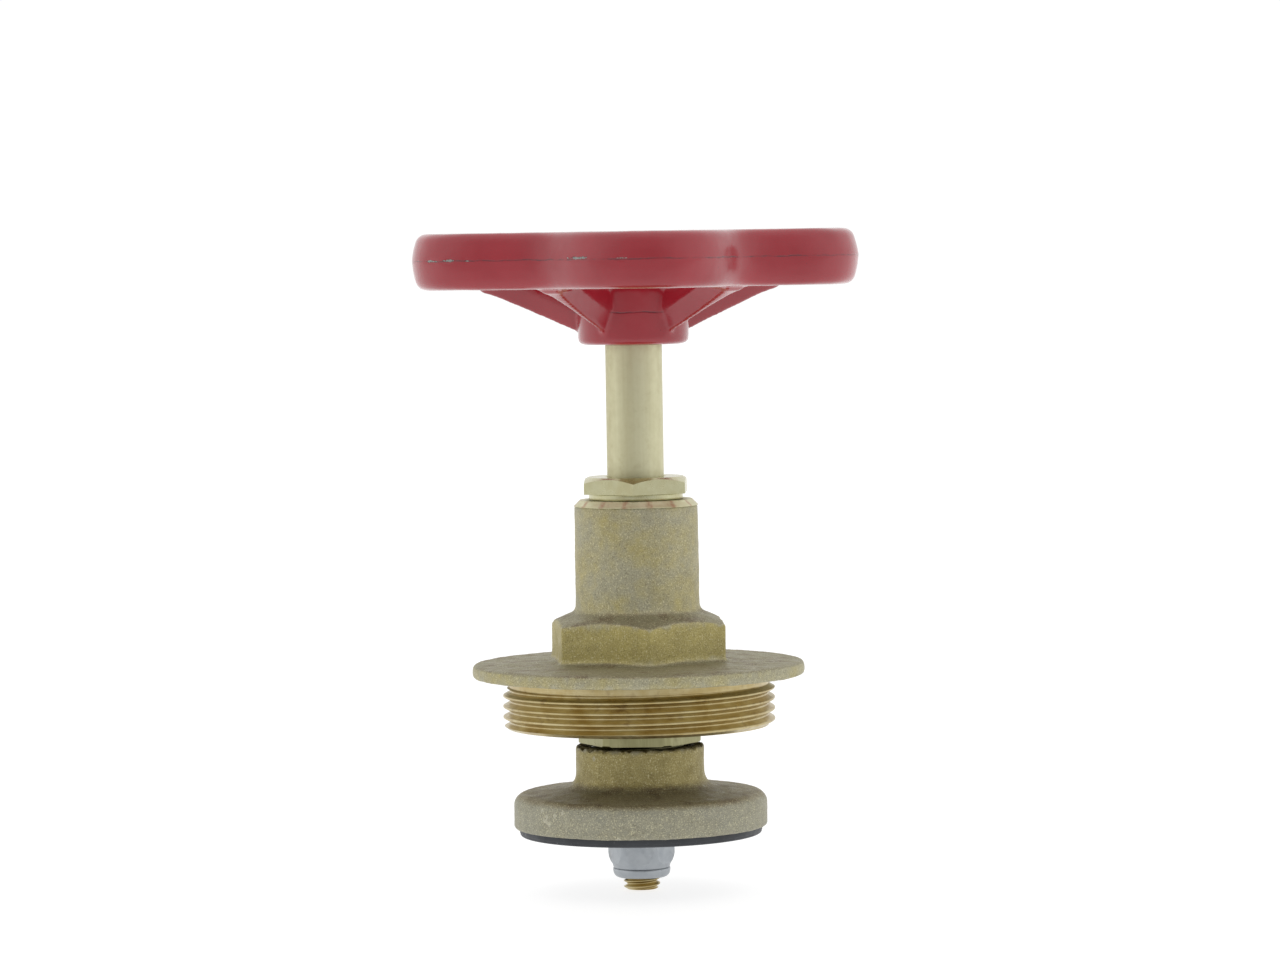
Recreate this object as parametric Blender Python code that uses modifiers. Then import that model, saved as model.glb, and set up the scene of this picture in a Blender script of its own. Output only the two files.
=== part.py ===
"""Headwork of a rising-stem stop valve, as an assembly of separate pieces.

A cast brass bonnet with an outside pipe thread screws into a valve body. A stem with a lobed
handwheel turns in it and so screws a rubber-faced disc down on the body's seat. The origin is on
the stem's axis in the plane of the flange's sealing face, +Z runs up the stem to the handwheel,
and the disc is at the top of its travel.
"""

import math

import bmesh
import bpy

MM = 0.001

# Clearances
GAP = 0.3 * MM  # between faces that touch in the real assembly, and where one runs in another

# Bonnet, flange and body thread
FLANGE_RADIUS = 36.45 * MM
FLANGE_THICKNESS = 2.9 * MM
FLANGE_CROWN = 0.5 * MM
FLANGE_EDGE_ROUND = 0.9 * MM
BODY_THREAD_RADIUS = 29.8 * MM
BODY_THREAD_DEPTH = 1.48 * MM
BODY_THREAD_PITCH = 2.309 * MM
BODY_THREAD_LENGTH = 11.1 * MM
BODY_THREAD_RELIEF = 2.3 * MM
BODY_THREAD_CREST = 0.18  # width of a ridge's crest, as a share of the pitch
BODY_THREAD_FOOT = 0.84  # and of its foot
SKIRT_WALL = 3.8 * MM
CAVITY_WALL_TOP = -5.5 * MM
CAVITY_ROOF = -1.2 * MM

# Bonnet, hexagon and barrel
BONNET_HEX_FLATS = 36.0 * MM
BONNET_HEX_TOP = 14.6 * MM
BONNET_HEX_SLOPE = math.radians(23)
BONNET_HEX_TURN = math.radians(6.9)
BARREL_RADIUS = 13.58 * MM
BARREL_TOP = 38.6 * MM
BARREL_CHAMFER = 1.2 * MM
BARREL_FILLET = 1.5 * MM
BARREL_FILLET_END = 250  # degrees round the fillet's centre, where it runs into the hexagon
BOSS_WALL = 3.2 * MM
BOSS_CLEARANCE = 1.0 * MM  # left between the boss and the disc's nut with the valve full open

# Stem
STEM_RADIUS = 6.2 * MM
STEM_THREAD_STEP = 0.8 * MM  # of the thread's radius over the stem's
STEM_NECK_STEP = 0.4 * MM  # of the neck's radius over the stem's
STEM_FOOT_CLEARANCE = 0.7 * MM  # round the foot, in the disc's neck
STEM_FOOT_HEIGHT = 3.5 * MM
STEM_SQUARE = 8.5 * MM
STEM_END_RADIUS = 4.0 * MM
EDGE_CHAMFER = 0.6 * MM  # on turned pieces

# Stuffing box
STUFFING_WIDTH = 3.7 * MM  # from the stem to the wall of its box
GLAND_HEX_STEP = 1.1 * MM  # from the wall of the box to a flat of the nut
GLAND_HEX_HEIGHT = 3.6 * MM
GLAND_HEX_TURN = math.radians(-2.6)
GLAND_COLLAR_STEP = 0.4 * MM  # of the collar's radius over the box's
GLAND_COLLAR_HEIGHT = 1.1 * MM
GLAND_SCREW_LENGTH = 6.4 * MM
GLAND_RING_HEIGHT = 2.0 * MM
PACKING_RINGS = 4
PACKING_HEIGHT = 2.2 * MM
PACKING_WASHER_HEIGHT = 1.2 * MM

# Disc
NECK_TOP = -15.2 * MM
NECK_RADIUS = 14.1 * MM
NECK_WALL = 3.1 * MM
NECK_HEIGHT = 9.5 * MM
NECK_FILLET = 3.2 * MM
DISC_RADIUS = 27.8 * MM
DISC_SHOULDER = 2.8 * MM
DISC_FALL = 0.8 * MM  # how far the disc's upper face drops from the neck to the shoulder
DISC_EDGE_HEIGHT = 4.8 * MM
SEAL_WALL = 0.9 * MM
SEAL_RECESS = 2.2 * MM
SEAL_THICKNESS = 3.6 * MM
SEAL_CHAMFER = 0.4 * MM
SPIGOT_RADIUS = 4.0 * MM
SPIGOT_PROUD = 2.6 * MM  # past the lock nut
THRUST_PLATE_HEIGHT = 1.0 * MM
DISC_NUT_FLATS = 24.0 * MM
DISC_NUT_RADIUS = 13.4 * MM
DISC_NUT_HEIGHT = 6.0 * MM
DISC_NUT_STANDOFF = 0.8 * MM
DISC_NUT_SCREW = 7.4 * MM
DISC_NUT_TURN = math.radians(26.7)

# Lock nut and its washer
SEAL_WASHER_RADIUS = 9.5 * MM
SEAL_WASHER_HEIGHT = 1.0 * MM
LOCK_NUT_FLATS = 13.0 * MM
LOCK_NUT_CORNER_RADIUS = 7.2 * MM
LOCK_NUT_HEX_HEIGHT = 5.6 * MM
LOCK_NUT_HEIGHT = 8.0 * MM
LOCK_NUT_COLLAR_RADIUS = 6.3 * MM
LOCK_NUT_LIP = 0.4 * MM
LOCK_NUT_TURN = math.radians(25.0)
INSERT_WALL = 0.8 * MM
INSERT_HEIGHT = 1.7 * MM

# Handwheel
HUB_RADIUS = 12.1 * MM
HUB_BOTTOM = 72.5 * MM
HUB_LENGTH = 13.5 * MM
HUB_ROUND = 1.0 * MM
WHEEL_LOBES = 5
WHEEL_TURN = math.radians(4.4 - 90.0)  # direction of the first lobe
RIM_LOBE_RADIUS = 50.0 * MM
RIM_VALLEY_RADIUS = 36.5 * MM
RIM_LOBE_FLATTENING = 1.4 * MM
RIM_INNER_LOBE_RADIUS = 38.0 * MM
RIM_INNER_VALLEY_RADIUS = 26.0 * MM
RIM_INNER_FLATTENING = 0.6 * MM
RIM_HEIGHT = 12.2 * MM
RIM_ROUND = 3.5 * MM
RIM_RISE = 12.5 * MM  # of the rim's lower face above the hub's
SPOKE_WIDTH = 8.0 * MM
SPOKE_HEIGHT = 9.2 * MM
SPOKE_RISE = 2.6 * MM  # of the spoke's lower edge above the hub's lower face, at the hub
SPOKE_SLOPE = math.radians(23.7)
SPOKE_ROUND = 1.8 * MM
SPOKE_ROOT = 4.8 * MM  # how far a spoke reaches into the hub

# Fasteners of the wheel
WHEEL_WASHER_RADIUS = 8.5 * MM
WHEEL_WASHER_HEIGHT = 1.2 * MM
SPRING_WASHER_RADIUS = 6.7 * MM
SPRING_WASHER_HEIGHT = 1.8 * MM
SPRING_WASHER_SLOT = 1.2 * MM
WHEEL_NUT_FLATS = 13.0 * MM
WHEEL_NUT_HEIGHT = 6.0 * MM
WHEEL_NUT_TURN = math.radians(12.0)
STEM_END_PROUD = 0.7 * MM  # past the wheel nut

NUT_CHAMFER = math.radians(30)

# Fineness of the round shapes
ROUND_STEPS = 48
SMALL_ROUND_STEPS = 32
OUTLINE_POINTS = 60
CUTTER_MARGIN = 1.0 * MM
MERGE_DISTANCE = 0.01 * MM
SHARP_ANGLE = math.radians(30)

# Sizes that follow from those above
STEM_THREAD_RADIUS = STEM_RADIUS + STEM_THREAD_STEP
STEM_NECK_RADIUS = STEM_RADIUS + STEM_NECK_STEP
STUFFING_RADIUS = STEM_RADIUS + STUFFING_WIDTH
GLAND_COLLAR_RADIUS = STUFFING_RADIUS + GLAND_COLLAR_STEP
GLAND_HEX_FLATS = 2 * (STUFFING_RADIUS + GLAND_HEX_STEP)
BODY_THREAD_ROOT = BODY_THREAD_RADIUS - BODY_THREAD_DEPTH
CAVITY_RADIUS = BODY_THREAD_ROOT - SKIRT_WALL
NECK_BORE_RADIUS = NECK_RADIUS - NECK_WALL
STEM_FOOT_RADIUS = NECK_BORE_RADIUS - STEM_FOOT_CLEARANCE

# Heights over the flange's sealing face that follow from the sizes above
GLAND_NUT_SEAT = BARREL_TOP + GAP
GLAND_SCREW_BOTTOM = GLAND_NUT_SEAT - GLAND_SCREW_LENGTH
GLAND_RING_BOTTOM = GLAND_SCREW_BOTTOM - GAP - GLAND_RING_HEIGHT
PACKING_BOTTOM = GLAND_RING_BOTTOM - PACKING_RINGS * (PACKING_HEIGHT + GAP)
PACKING_WASHER_BOTTOM = PACKING_BOTTOM - GAP - PACKING_WASHER_HEIGHT
STUFFING_FLOOR = PACKING_WASHER_BOTTOM - GAP
DISC_NUT_BOTTOM = NECK_TOP + DISC_NUT_STANDOFF
DISC_NUT_TOP = DISC_NUT_BOTTOM + DISC_NUT_HEIGHT
DISC_NUT_SCREW_BOTTOM = NECK_TOP - DISC_NUT_SCREW
BOSS_BOTTOM = DISC_NUT_TOP + BOSS_CLEARANCE
FOOT_TOP = DISC_NUT_SCREW_BOTTOM - GAP
FOOT_BOTTOM = FOOT_TOP - STEM_FOOT_HEIGHT
THRUST_PLATE_BOTTOM = FOOT_BOTTOM - GAP - THRUST_PLATE_HEIGHT
NECK_FLOOR = THRUST_PLATE_BOTTOM - GAP
DISC_TOP = NECK_TOP - NECK_HEIGHT
DISC_SHOULDER_TOP = DISC_TOP - DISC_FALL
DISC_BOTTOM = DISC_SHOULDER_TOP - DISC_SHOULDER - DISC_EDGE_HEIGHT
SEAL_TOP = DISC_BOTTOM + SEAL_RECESS - GAP
SEAL_RADIUS = DISC_RADIUS - SEAL_WALL - GAP
SEAL_BOTTOM = SEAL_TOP - SEAL_THICKNESS
SEAL_WASHER_BOTTOM = SEAL_BOTTOM - GAP - SEAL_WASHER_HEIGHT
LOCK_NUT_TOP = SEAL_WASHER_BOTTOM - GAP
LOCK_NUT_BOTTOM = LOCK_NUT_TOP - LOCK_NUT_HEIGHT
SPIGOT_BOTTOM = LOCK_NUT_BOTTOM - SPIGOT_PROUD
STEM_SHOULDER = HUB_BOTTOM - GAP
HUB_TOP = HUB_BOTTOM + HUB_LENGTH
WHEEL_WASHER_BOTTOM = HUB_TOP + GAP
SPRING_WASHER_BOTTOM = WHEEL_WASHER_BOTTOM + WHEEL_WASHER_HEIGHT + GAP
WHEEL_NUT_BOTTOM = SPRING_WASHER_BOTTOM + SPRING_WASHER_HEIGHT + GAP
STEM_TOP = WHEEL_NUT_BOTTOM + WHEEL_NUT_HEIGHT + STEM_END_PROUD

# Finishes: colour, roughness, metallic
CAST_BRASS = ("cast_brass", (0.26, 0.22, 0.10), 0.62, 0.85)
MACHINED_BRASS = ("machined_brass", (0.62, 0.48, 0.20), 0.30, 1.0)
RED_LACQUER = ("red_lacquer", (0.42, 0.03, 0.035), 0.25, 0.0)
BLACK_RUBBER = ("black_rubber", (0.03, 0.032, 0.036), 0.60, 0.0)
ZINC_STEEL = ("zinc_steel", (0.42, 0.44, 0.47), 0.38, 1.0)
GREY_NYLON = ("grey_nylon", (0.35, 0.36, 0.38), 0.50, 0.0)
GRAPHITE = ("graphite", (0.06, 0.06, 0.065), 0.70, 0.0)


def clear_scene():
    for obj in list(bpy.data.objects):
        bpy.data.objects.remove(obj, do_unlink=True)


def new_collection(name):
    collection = bpy.data.collections.new(name)
    bpy.context.scene.collection.children.link(collection)
    return collection


def material_of(finish):
    name, colour, roughness, metallic = finish
    material = bpy.data.materials.get(name)
    if material:
        return material
    material = bpy.data.materials.new(name)
    material.use_nodes = True
    shader = material.node_tree.nodes["Principled BSDF"]
    shader.inputs["Base Color"].default_value = (*colour, 1.0)
    shader.inputs["Roughness"].default_value = roughness
    shader.inputs["Metallic"].default_value = metallic
    return material


def arc(centre_radius, centre_height, radius, start, end, steps=3):
    """Points of a profile's round corner, from one angle in degrees to another."""
    angles = [math.radians(start + (end - start) * i / steps) for i in range(steps + 1)]
    return [
        (centre_radius + radius * math.cos(a), centre_height + radius * math.sin(a))
        for a in angles
    ]


def as_helper(obj):
    """Hides a shape that only cuts or joins another, and keeps it as a guide."""
    cutters.objects.link(obj)
    obj.hide_render = True
    obj.display_type = "WIRE"
    return obj


def turned(name, profile, steps=ROUND_STEPS, ring=False):
    """A profile of (radius, height) points turned about Z. A ring's profile closes on itself,
    and any other starts and ends on the axis. Both run down their outer side."""
    mesh = bpy.data.meshes.new(name)
    edges = [(i, i + 1) for i in range(len(profile) - 1)]
    if ring:
        edges.append((len(profile) - 1, 0))
    mesh.from_pydata([(radius, 0.0, height) for radius, height in profile], edges, [])
    obj = bpy.data.objects.new(name, mesh)
    screw = obj.modifiers.new("Turn", "SCREW")
    screw.axis = "Z"
    screw.steps = steps
    screw.render_steps = steps
    screw.use_merge_vertices = True
    screw.merge_threshold = MERGE_DISTANCE
    return obj


def washer(name, outer, inner, height):
    """A flat ring that stands on its origin."""
    profile = [(outer, height), (outer, 0.0), (inner, 0.0), (inner, height)]
    return turned(name, profile, SMALL_ROUND_STEPS, ring=True)


def object_of(name, shape):
    """An object that holds what is in a bmesh."""
    mesh = bpy.data.meshes.new(name)
    shape.to_mesh(mesh)
    shape.free()
    return bpy.data.objects.new(name, mesh)


def block(name, size, middle):
    """A rectangular block of a size, about its middle."""
    shape = bmesh.new()
    bmesh.ops.create_cube(shape, size=1.0)
    bmesh.ops.scale(shape, verts=shape.verts, vec=size)
    bmesh.ops.translate(shape, verts=shape.verts, vec=middle)
    return object_of(name, shape)


def hexagon(name, across_flats, bottom, top, turn):
    """A hexagonal bar. With no turn a corner points along -Y."""
    corner_radius = across_flats / math.sqrt(3)
    shape = bmesh.new()
    bmesh.ops.create_cone(
        shape,
        cap_ends=True,
        segments=6,
        radius1=corner_radius,
        radius2=corner_radius,
        depth=top - bottom,
    )
    bmesh.ops.translate(shape, verts=shape.verts, vec=(0, 0, (top + bottom) / 2))
    corner = min(math.degrees(math.atan2(v.co.y, v.co.x)) % 60 for v in shape.verts)
    obj = object_of(name, shape)
    obj.rotation_euler.z = turn - math.radians(90 + corner)
    return obj


def boolean(obj, other, operation):
    modifier = obj.modifiers.new(other.name, "BOOLEAN")
    modifier.object = other
    modifier.operation = operation
    modifier.solver = "EXACT"


def cut(obj, cutter):
    boolean(obj, cutter, "DIFFERENCE")


def join(obj, other):
    boolean(obj, other, "UNION")


def keep_inside(obj, envelope):
    boolean(obj, envelope, "INTERSECT")


def finish(obj, group, height, look):
    """Adds a finished piece to the assembly: its mesh takes what the modifiers make of it, it
    stands at its height under its group's empty, and it gets its finish."""
    parts.objects.link(obj)
    obj.location.z += height
    for modifier in obj.modifiers:
        if modifier.type == "BOOLEAN":
            modifier.object.location.z += height
    bpy.context.view_layer.update()
    graph = bpy.context.evaluated_depsgraph_get()
    mesh = bpy.data.meshes.new_from_object(obj.evaluated_get(graph))
    obj.modifiers.clear()
    obj.data = mesh
    mesh.name = obj.name
    mesh.shade_smooth()
    mesh.set_sharp_from_angle(angle=SHARP_ANGLE)
    mesh.materials.clear()
    mesh.materials.append(material_of(look))
    obj.parent = group
    return obj


def new_group(name):
    """An empty on the stem's axis that carries the pieces which move as one."""
    empty = bpy.data.objects.new(name, None)
    parts.objects.link(empty)
    return empty


def body_thread_profile():
    """Down the outside of the body thread, as parallel ridges, to its bevelled end."""
    half_crest = BODY_THREAD_CREST * BODY_THREAD_PITCH / 2
    half_foot = BODY_THREAD_FOOT * BODY_THREAD_PITCH / 2
    ridges = []
    turns = round((BODY_THREAD_LENGTH - BODY_THREAD_RELIEF) / BODY_THREAD_PITCH)
    for turn in range(turns):
        middle = -BODY_THREAD_RELIEF - half_foot - turn * BODY_THREAD_PITCH
        ridges += [
            (BODY_THREAD_ROOT, middle + half_foot),
            (BODY_THREAD_RADIUS, middle + half_crest),
            (BODY_THREAD_RADIUS, middle - half_crest),
            (BODY_THREAD_ROOT, middle - half_foot),
        ]
    bevel = BODY_THREAD_DEPTH / 3
    ridges = [point for point in ridges if point[1] > bevel - BODY_THREAD_LENGTH]
    return [*ridges, (BODY_THREAD_ROOT + bevel, -BODY_THREAD_LENGTH)]


def make_bonnet(group):
    bore = STEM_THREAD_RADIUS + GAP
    flange_inner = BONNET_HEX_FLATS / math.sqrt(3)
    edge = FLANGE_EDGE_ROUND
    fillet = BARREL_FILLET
    profile = [(0.0, BARREL_TOP), (BARREL_RADIUS - BARREL_CHAMFER, BARREL_TOP)]
    profile += [(BARREL_RADIUS, BARREL_TOP - BARREL_CHAMFER)]
    profile += arc(BARREL_RADIUS + fillet, BONNET_HEX_TOP + fillet, fillet, 180, BARREL_FILLET_END)
    profile += [(BARREL_RADIUS + fillet, FLANGE_THICKNESS + FLANGE_CROWN)]
    profile += [(flange_inner, FLANGE_THICKNESS + FLANGE_CROWN)]
    profile += arc(FLANGE_RADIUS - edge, FLANGE_THICKNESS - edge, edge, 90, 0)
    profile += arc(FLANGE_RADIUS - edge / 3, edge / 3, edge / 3, 0, -90, 1)
    profile += [(BODY_THREAD_ROOT, 0.0)]
    profile += body_thread_profile()
    profile += [(0.0, -BODY_THREAD_LENGTH)]
    bonnet = turned("bonnet", profile)

    corner_radius = BONNET_HEX_FLATS / math.sqrt(3) + CUTTER_MARGIN
    drop = (corner_radius - BARREL_RADIUS) * math.tan(BONNET_HEX_SLOPE)
    nut = hexagon(
        "bonnet_hexagon", BONNET_HEX_FLATS, FLANGE_THICKNESS / 2, BARREL_TOP / 2, BONNET_HEX_TURN
    )
    cone = [(0.0, BONNET_HEX_TOP), (BARREL_RADIUS, BONNET_HEX_TOP)]
    cone += [(corner_radius, BONNET_HEX_TOP - drop), (corner_radius, 0.0), (0.0, 0.0)]
    keep_inside(nut, as_helper(turned("bonnet_hexagon_cone", cone)))
    join(bonnet, as_helper(nut))

    boss = bore + BOSS_WALL
    hollow = [(0.0, BARREL_TOP + CUTTER_MARGIN), (STUFFING_RADIUS, BARREL_TOP + CUTTER_MARGIN)]
    hollow += [(STUFFING_RADIUS, STUFFING_FLOOR), (bore, STUFFING_FLOOR)]
    hollow += [(bore, BOSS_BOTTOM), (boss, BOSS_BOTTOM), (boss, CAVITY_ROOF)]
    hollow += [(boss + BOSS_WALL, CAVITY_ROOF), (CAVITY_RADIUS, CAVITY_WALL_TOP)]
    hollow += [(CAVITY_RADIUS, -BODY_THREAD_LENGTH - CUTTER_MARGIN)]
    hollow += [(0.0, -BODY_THREAD_LENGTH - CUTTER_MARGIN)]
    cut(bonnet, as_helper(turned("bonnet_hollow", hollow)))
    return finish(bonnet, group, 0.0, CAST_BRASS)


def make_gland_nut(group):
    """Stands on its collar, with its screw below."""
    bore = STEM_RADIUS + GAP
    screw = STUFFING_RADIUS - GAP
    corner = GLAND_HEX_FLATS / math.sqrt(3)
    top = GLAND_COLLAR_HEIGHT + GLAND_HEX_HEIGHT
    chamfer = (corner - GLAND_HEX_FLATS / 2) * math.tan(NUT_CHAMFER)
    nut = hexagon("gland_nut", GLAND_HEX_FLATS, GLAND_COLLAR_HEIGHT, top, GLAND_HEX_TURN)
    cone = [(0.0, top), (GLAND_HEX_FLATS / 2 - EDGE_CHAMFER, top), (corner, top - chamfer)]
    cone += [(corner, 0.0), (0.0, 0.0)]
    keep_inside(nut, as_helper(turned("gland_nut_cone", cone)))
    overlap = GLAND_COLLAR_HEIGHT + CUTTER_MARGIN
    foot = [(0.0, overlap), (GLAND_COLLAR_RADIUS, overlap)]
    foot += [(GLAND_COLLAR_RADIUS, 0.0), (screw, 0.0)]
    foot += [(screw, EDGE_CHAMFER - GLAND_SCREW_LENGTH)]
    foot += [(screw - EDGE_CHAMFER, -GLAND_SCREW_LENGTH), (0.0, -GLAND_SCREW_LENGTH)]
    join(nut, as_helper(turned("gland_nut_foot", foot)))
    hole = [(0.0, top + CUTTER_MARGIN), (bore, top + CUTTER_MARGIN)]
    hole += [(bore, -GLAND_SCREW_LENGTH - CUTTER_MARGIN)]
    hole += [(0.0, -GLAND_SCREW_LENGTH - CUTTER_MARGIN)]
    cut(nut, as_helper(turned("gland_nut_hole", hole)))
    return finish(nut, group, GLAND_NUT_SEAT, MACHINED_BRASS)


def make_stuffing(group):
    """The gland ring, the packing rings and the washer under them, from the top down."""
    outer = STUFFING_RADIUS - GAP
    inner = STEM_RADIUS + GAP
    ring = washer("gland_ring", outer, inner, GLAND_RING_HEIGHT)
    finish(ring, group, GLAND_RING_BOTTOM, MACHINED_BRASS)
    for number in range(1, PACKING_RINGS + 1):
        ring = washer(f"packing_ring_{number}", outer, inner, PACKING_HEIGHT)
        height = GLAND_RING_BOTTOM - number * (PACKING_HEIGHT + GAP)
        finish(ring, group, height, GRAPHITE)
    ring = washer("packing_washer", outer, inner, PACKING_WASHER_HEIGHT)
    finish(ring, group, PACKING_WASHER_BOTTOM, MACHINED_BRASS)


def make_stem(group):
    end = STEM_END_RADIUS
    profile = [(0.0, STEM_TOP), (end - EDGE_CHAMFER, STEM_TOP), (end, STEM_TOP - EDGE_CHAMFER)]
    profile += [(end, STEM_SHOULDER), (STEM_RADIUS - EDGE_CHAMFER / 2, STEM_SHOULDER)]
    profile += [(STEM_RADIUS, STEM_SHOULDER - EDGE_CHAMFER / 2)]
    profile += [(STEM_RADIUS, STUFFING_FLOOR - GAP)]
    profile += [(STEM_THREAD_RADIUS, STUFFING_FLOOR - GAP - EDGE_CHAMFER)]
    profile += [(STEM_THREAD_RADIUS, BOSS_BOTTOM), (STEM_NECK_RADIUS, BOSS_BOTTOM)]
    profile += [(STEM_NECK_RADIUS, FOOT_TOP), (STEM_FOOT_RADIUS, FOOT_TOP)]
    profile += [(STEM_FOOT_RADIUS, FOOT_BOTTOM), (0.0, FOOT_BOTTOM)]
    stem = turned("spindle", profile, SMALL_ROUND_STEPS)
    length = HUB_LENGTH - EDGE_CHAMFER + CUTTER_MARGIN
    middle = STEM_SHOULDER - CUTTER_MARGIN + length / 2
    square = block("spindle_square", (STEM_SQUARE, STEM_SQUARE, length), (0, 0, middle))
    join(stem, as_helper(square))
    return finish(stem, group, 0.0, MACHINED_BRASS)


def lobed_outline(lobe, valley, flattening):
    """Points of the wheel's outline: lobe is its largest radius, valley its smallest."""
    swing = (lobe - valley) / 2
    middle = (lobe + valley) / 2 + flattening
    points = []
    for i in range(OUTLINE_POINTS):
        around = math.tau * i / OUTLINE_POINTS
        wave = swing * math.cos(WHEEL_LOBES * around)
        radius = middle + wave - flattening * math.cos(2 * WHEEL_LOBES * around)
        points.append((radius * math.cos(around), radius * math.sin(around), 0.0, 1.0))
    return points


def make_rim():
    """The lobed ring with rounded edges, standing on its origin."""
    curve = bpy.data.curves.new("handwheel_rim", "CURVE")
    curve.dimensions = "2D"
    curve.fill_mode = "BOTH"
    curve.extrude = RIM_HEIGHT / 2 - RIM_ROUND
    curve.bevel_depth = RIM_ROUND
    curve.bevel_resolution = 1
    curve.offset = -RIM_ROUND
    outlines = (
        (RIM_LOBE_RADIUS, RIM_VALLEY_RADIUS, RIM_LOBE_FLATTENING),
        (RIM_INNER_LOBE_RADIUS, RIM_INNER_VALLEY_RADIUS, RIM_INNER_FLATTENING),
    )
    for lobe, valley, flattening in outlines:
        points = lobed_outline(lobe, valley, flattening)
        spline = curve.splines.new("POLY")
        spline.points.add(len(points) - 1)
        spline.use_cyclic_u = True
        for point, place in zip(spline.points, points):
            point.co = place
    source = bpy.data.objects.new("handwheel_rim_outline", curve)
    parts.objects.link(source)
    source.location.z = RIM_RISE + RIM_HEIGHT / 2
    source.rotation_euler.z = WHEEL_TURN
    bpy.context.view_layer.update()
    graph = bpy.context.evaluated_depsgraph_get()
    mesh = bpy.data.meshes.new_from_object(source.evaluated_get(graph))
    shape = bmesh.new()
    shape.from_mesh(mesh)
    bmesh.ops.remove_doubles(shape, verts=shape.verts, dist=MERGE_DISTANCE)
    bmesh.ops.recalc_face_normals(shape, faces=shape.faces)
    bmesh.ops.transform(shape, matrix=source.matrix_world, verts=shape.verts)
    shape.to_mesh(mesh)
    shape.free()
    bpy.data.objects.remove(source)
    return bpy.data.objects.new("handwheel_rim", mesh)


def make_spoke(number):
    """A bar that climbs from inside the hub to the middle of the rim, in a valley between lobes."""
    start = HUB_RADIUS - SPOKE_ROOT
    end = (RIM_VALLEY_RADIUS + RIM_INNER_VALLEY_RADIUS) / 2
    middle = ((start + end) / 2, 0, SPOKE_RISE + SPOKE_HEIGHT / 2)
    name = f"handwheel_spoke_{number}"
    spoke = block(name, (end - start, SPOKE_WIDTH, SPOKE_HEIGHT), middle)
    for vertex in spoke.data.vertices:
        vertex.co.z += (vertex.co.x - HUB_RADIUS) * math.tan(SPOKE_SLOPE)
    spoke.rotation_euler.z = WHEEL_TURN + (number - 0.5) * math.tau / WHEEL_LOBES
    rounding = spoke.modifiers.new("Round", "BEVEL")
    rounding.width = SPOKE_ROUND
    rounding.segments = 2
    rounding.limit_method = "ANGLE"
    return spoke


def make_handwheel(group):
    """Stands on its hub's lower face."""
    profile = [(0.0, HUB_LENGTH)]
    profile += arc(HUB_RADIUS - HUB_ROUND, HUB_LENGTH - HUB_ROUND, HUB_ROUND, 90, 0)
    profile += arc(HUB_RADIUS - HUB_ROUND, HUB_ROUND, HUB_ROUND, 0, -90)
    profile += [(0.0, 0.0)]
    wheel = turned("handwheel", profile, SMALL_ROUND_STEPS)
    for number in range(1, WHEEL_LOBES + 1):
        join(wheel, as_helper(make_spoke(number)))
    join(wheel, as_helper(make_rim()))
    side = STEM_SQUARE + 2 * GAP
    size = (side, side, HUB_LENGTH + 2 * CUTTER_MARGIN)
    cut(wheel, as_helper(block("handwheel_square_hole", size, (0, 0, HUB_LENGTH / 2))))
    return finish(wheel, group, HUB_BOTTOM, RED_LACQUER)


def plain_nut(name, across_flats, height, bore, turn):
    """A hexagon nut chamfered at both ends, standing on its origin."""
    corner = across_flats / math.sqrt(3)
    chamfer = (corner - across_flats / 2) * math.tan(NUT_CHAMFER)
    nut = hexagon(name, across_flats, 0.0, height, turn)
    cone = [(0.0, height), (across_flats / 2, height), (corner, height - chamfer)]
    cone += [(corner, chamfer), (across_flats / 2, 0.0), (0.0, 0.0)]
    keep_inside(nut, as_helper(turned(f"{name}_cone", cone, SMALL_ROUND_STEPS)))
    hole = [(0.0, height + CUTTER_MARGIN), (bore, height + CUTTER_MARGIN)]
    hole += [(bore, -CUTTER_MARGIN), (0.0, -CUTTER_MARGIN)]
    cut(nut, as_helper(turned(f"{name}_hole", hole, SMALL_ROUND_STEPS)))
    return nut


def make_wheel_fasteners(group):
    bore = STEM_END_RADIUS + GAP
    flat = washer("wheel_washer", WHEEL_WASHER_RADIUS, bore, WHEEL_WASHER_HEIGHT)
    finish(flat, group, WHEEL_WASHER_BOTTOM, ZINC_STEEL)

    spring = washer("wheel_spring_washer", SPRING_WASHER_RADIUS, bore, SPRING_WASHER_HEIGHT)
    size = (SPRING_WASHER_RADIUS, SPRING_WASHER_SLOT, 2 * SPRING_WASHER_HEIGHT)
    place = (SPRING_WASHER_RADIUS, 0, SPRING_WASHER_HEIGHT / 2)
    cut(spring, as_helper(block("wheel_spring_washer_slot", size, place)))
    finish(spring, group, SPRING_WASHER_BOTTOM, ZINC_STEEL)

    nut = plain_nut("wheel_nut", WHEEL_NUT_FLATS, WHEEL_NUT_HEIGHT, bore, WHEEL_NUT_TURN)
    finish(nut, group, WHEEL_NUT_BOTTOM, ZINC_STEEL)


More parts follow.
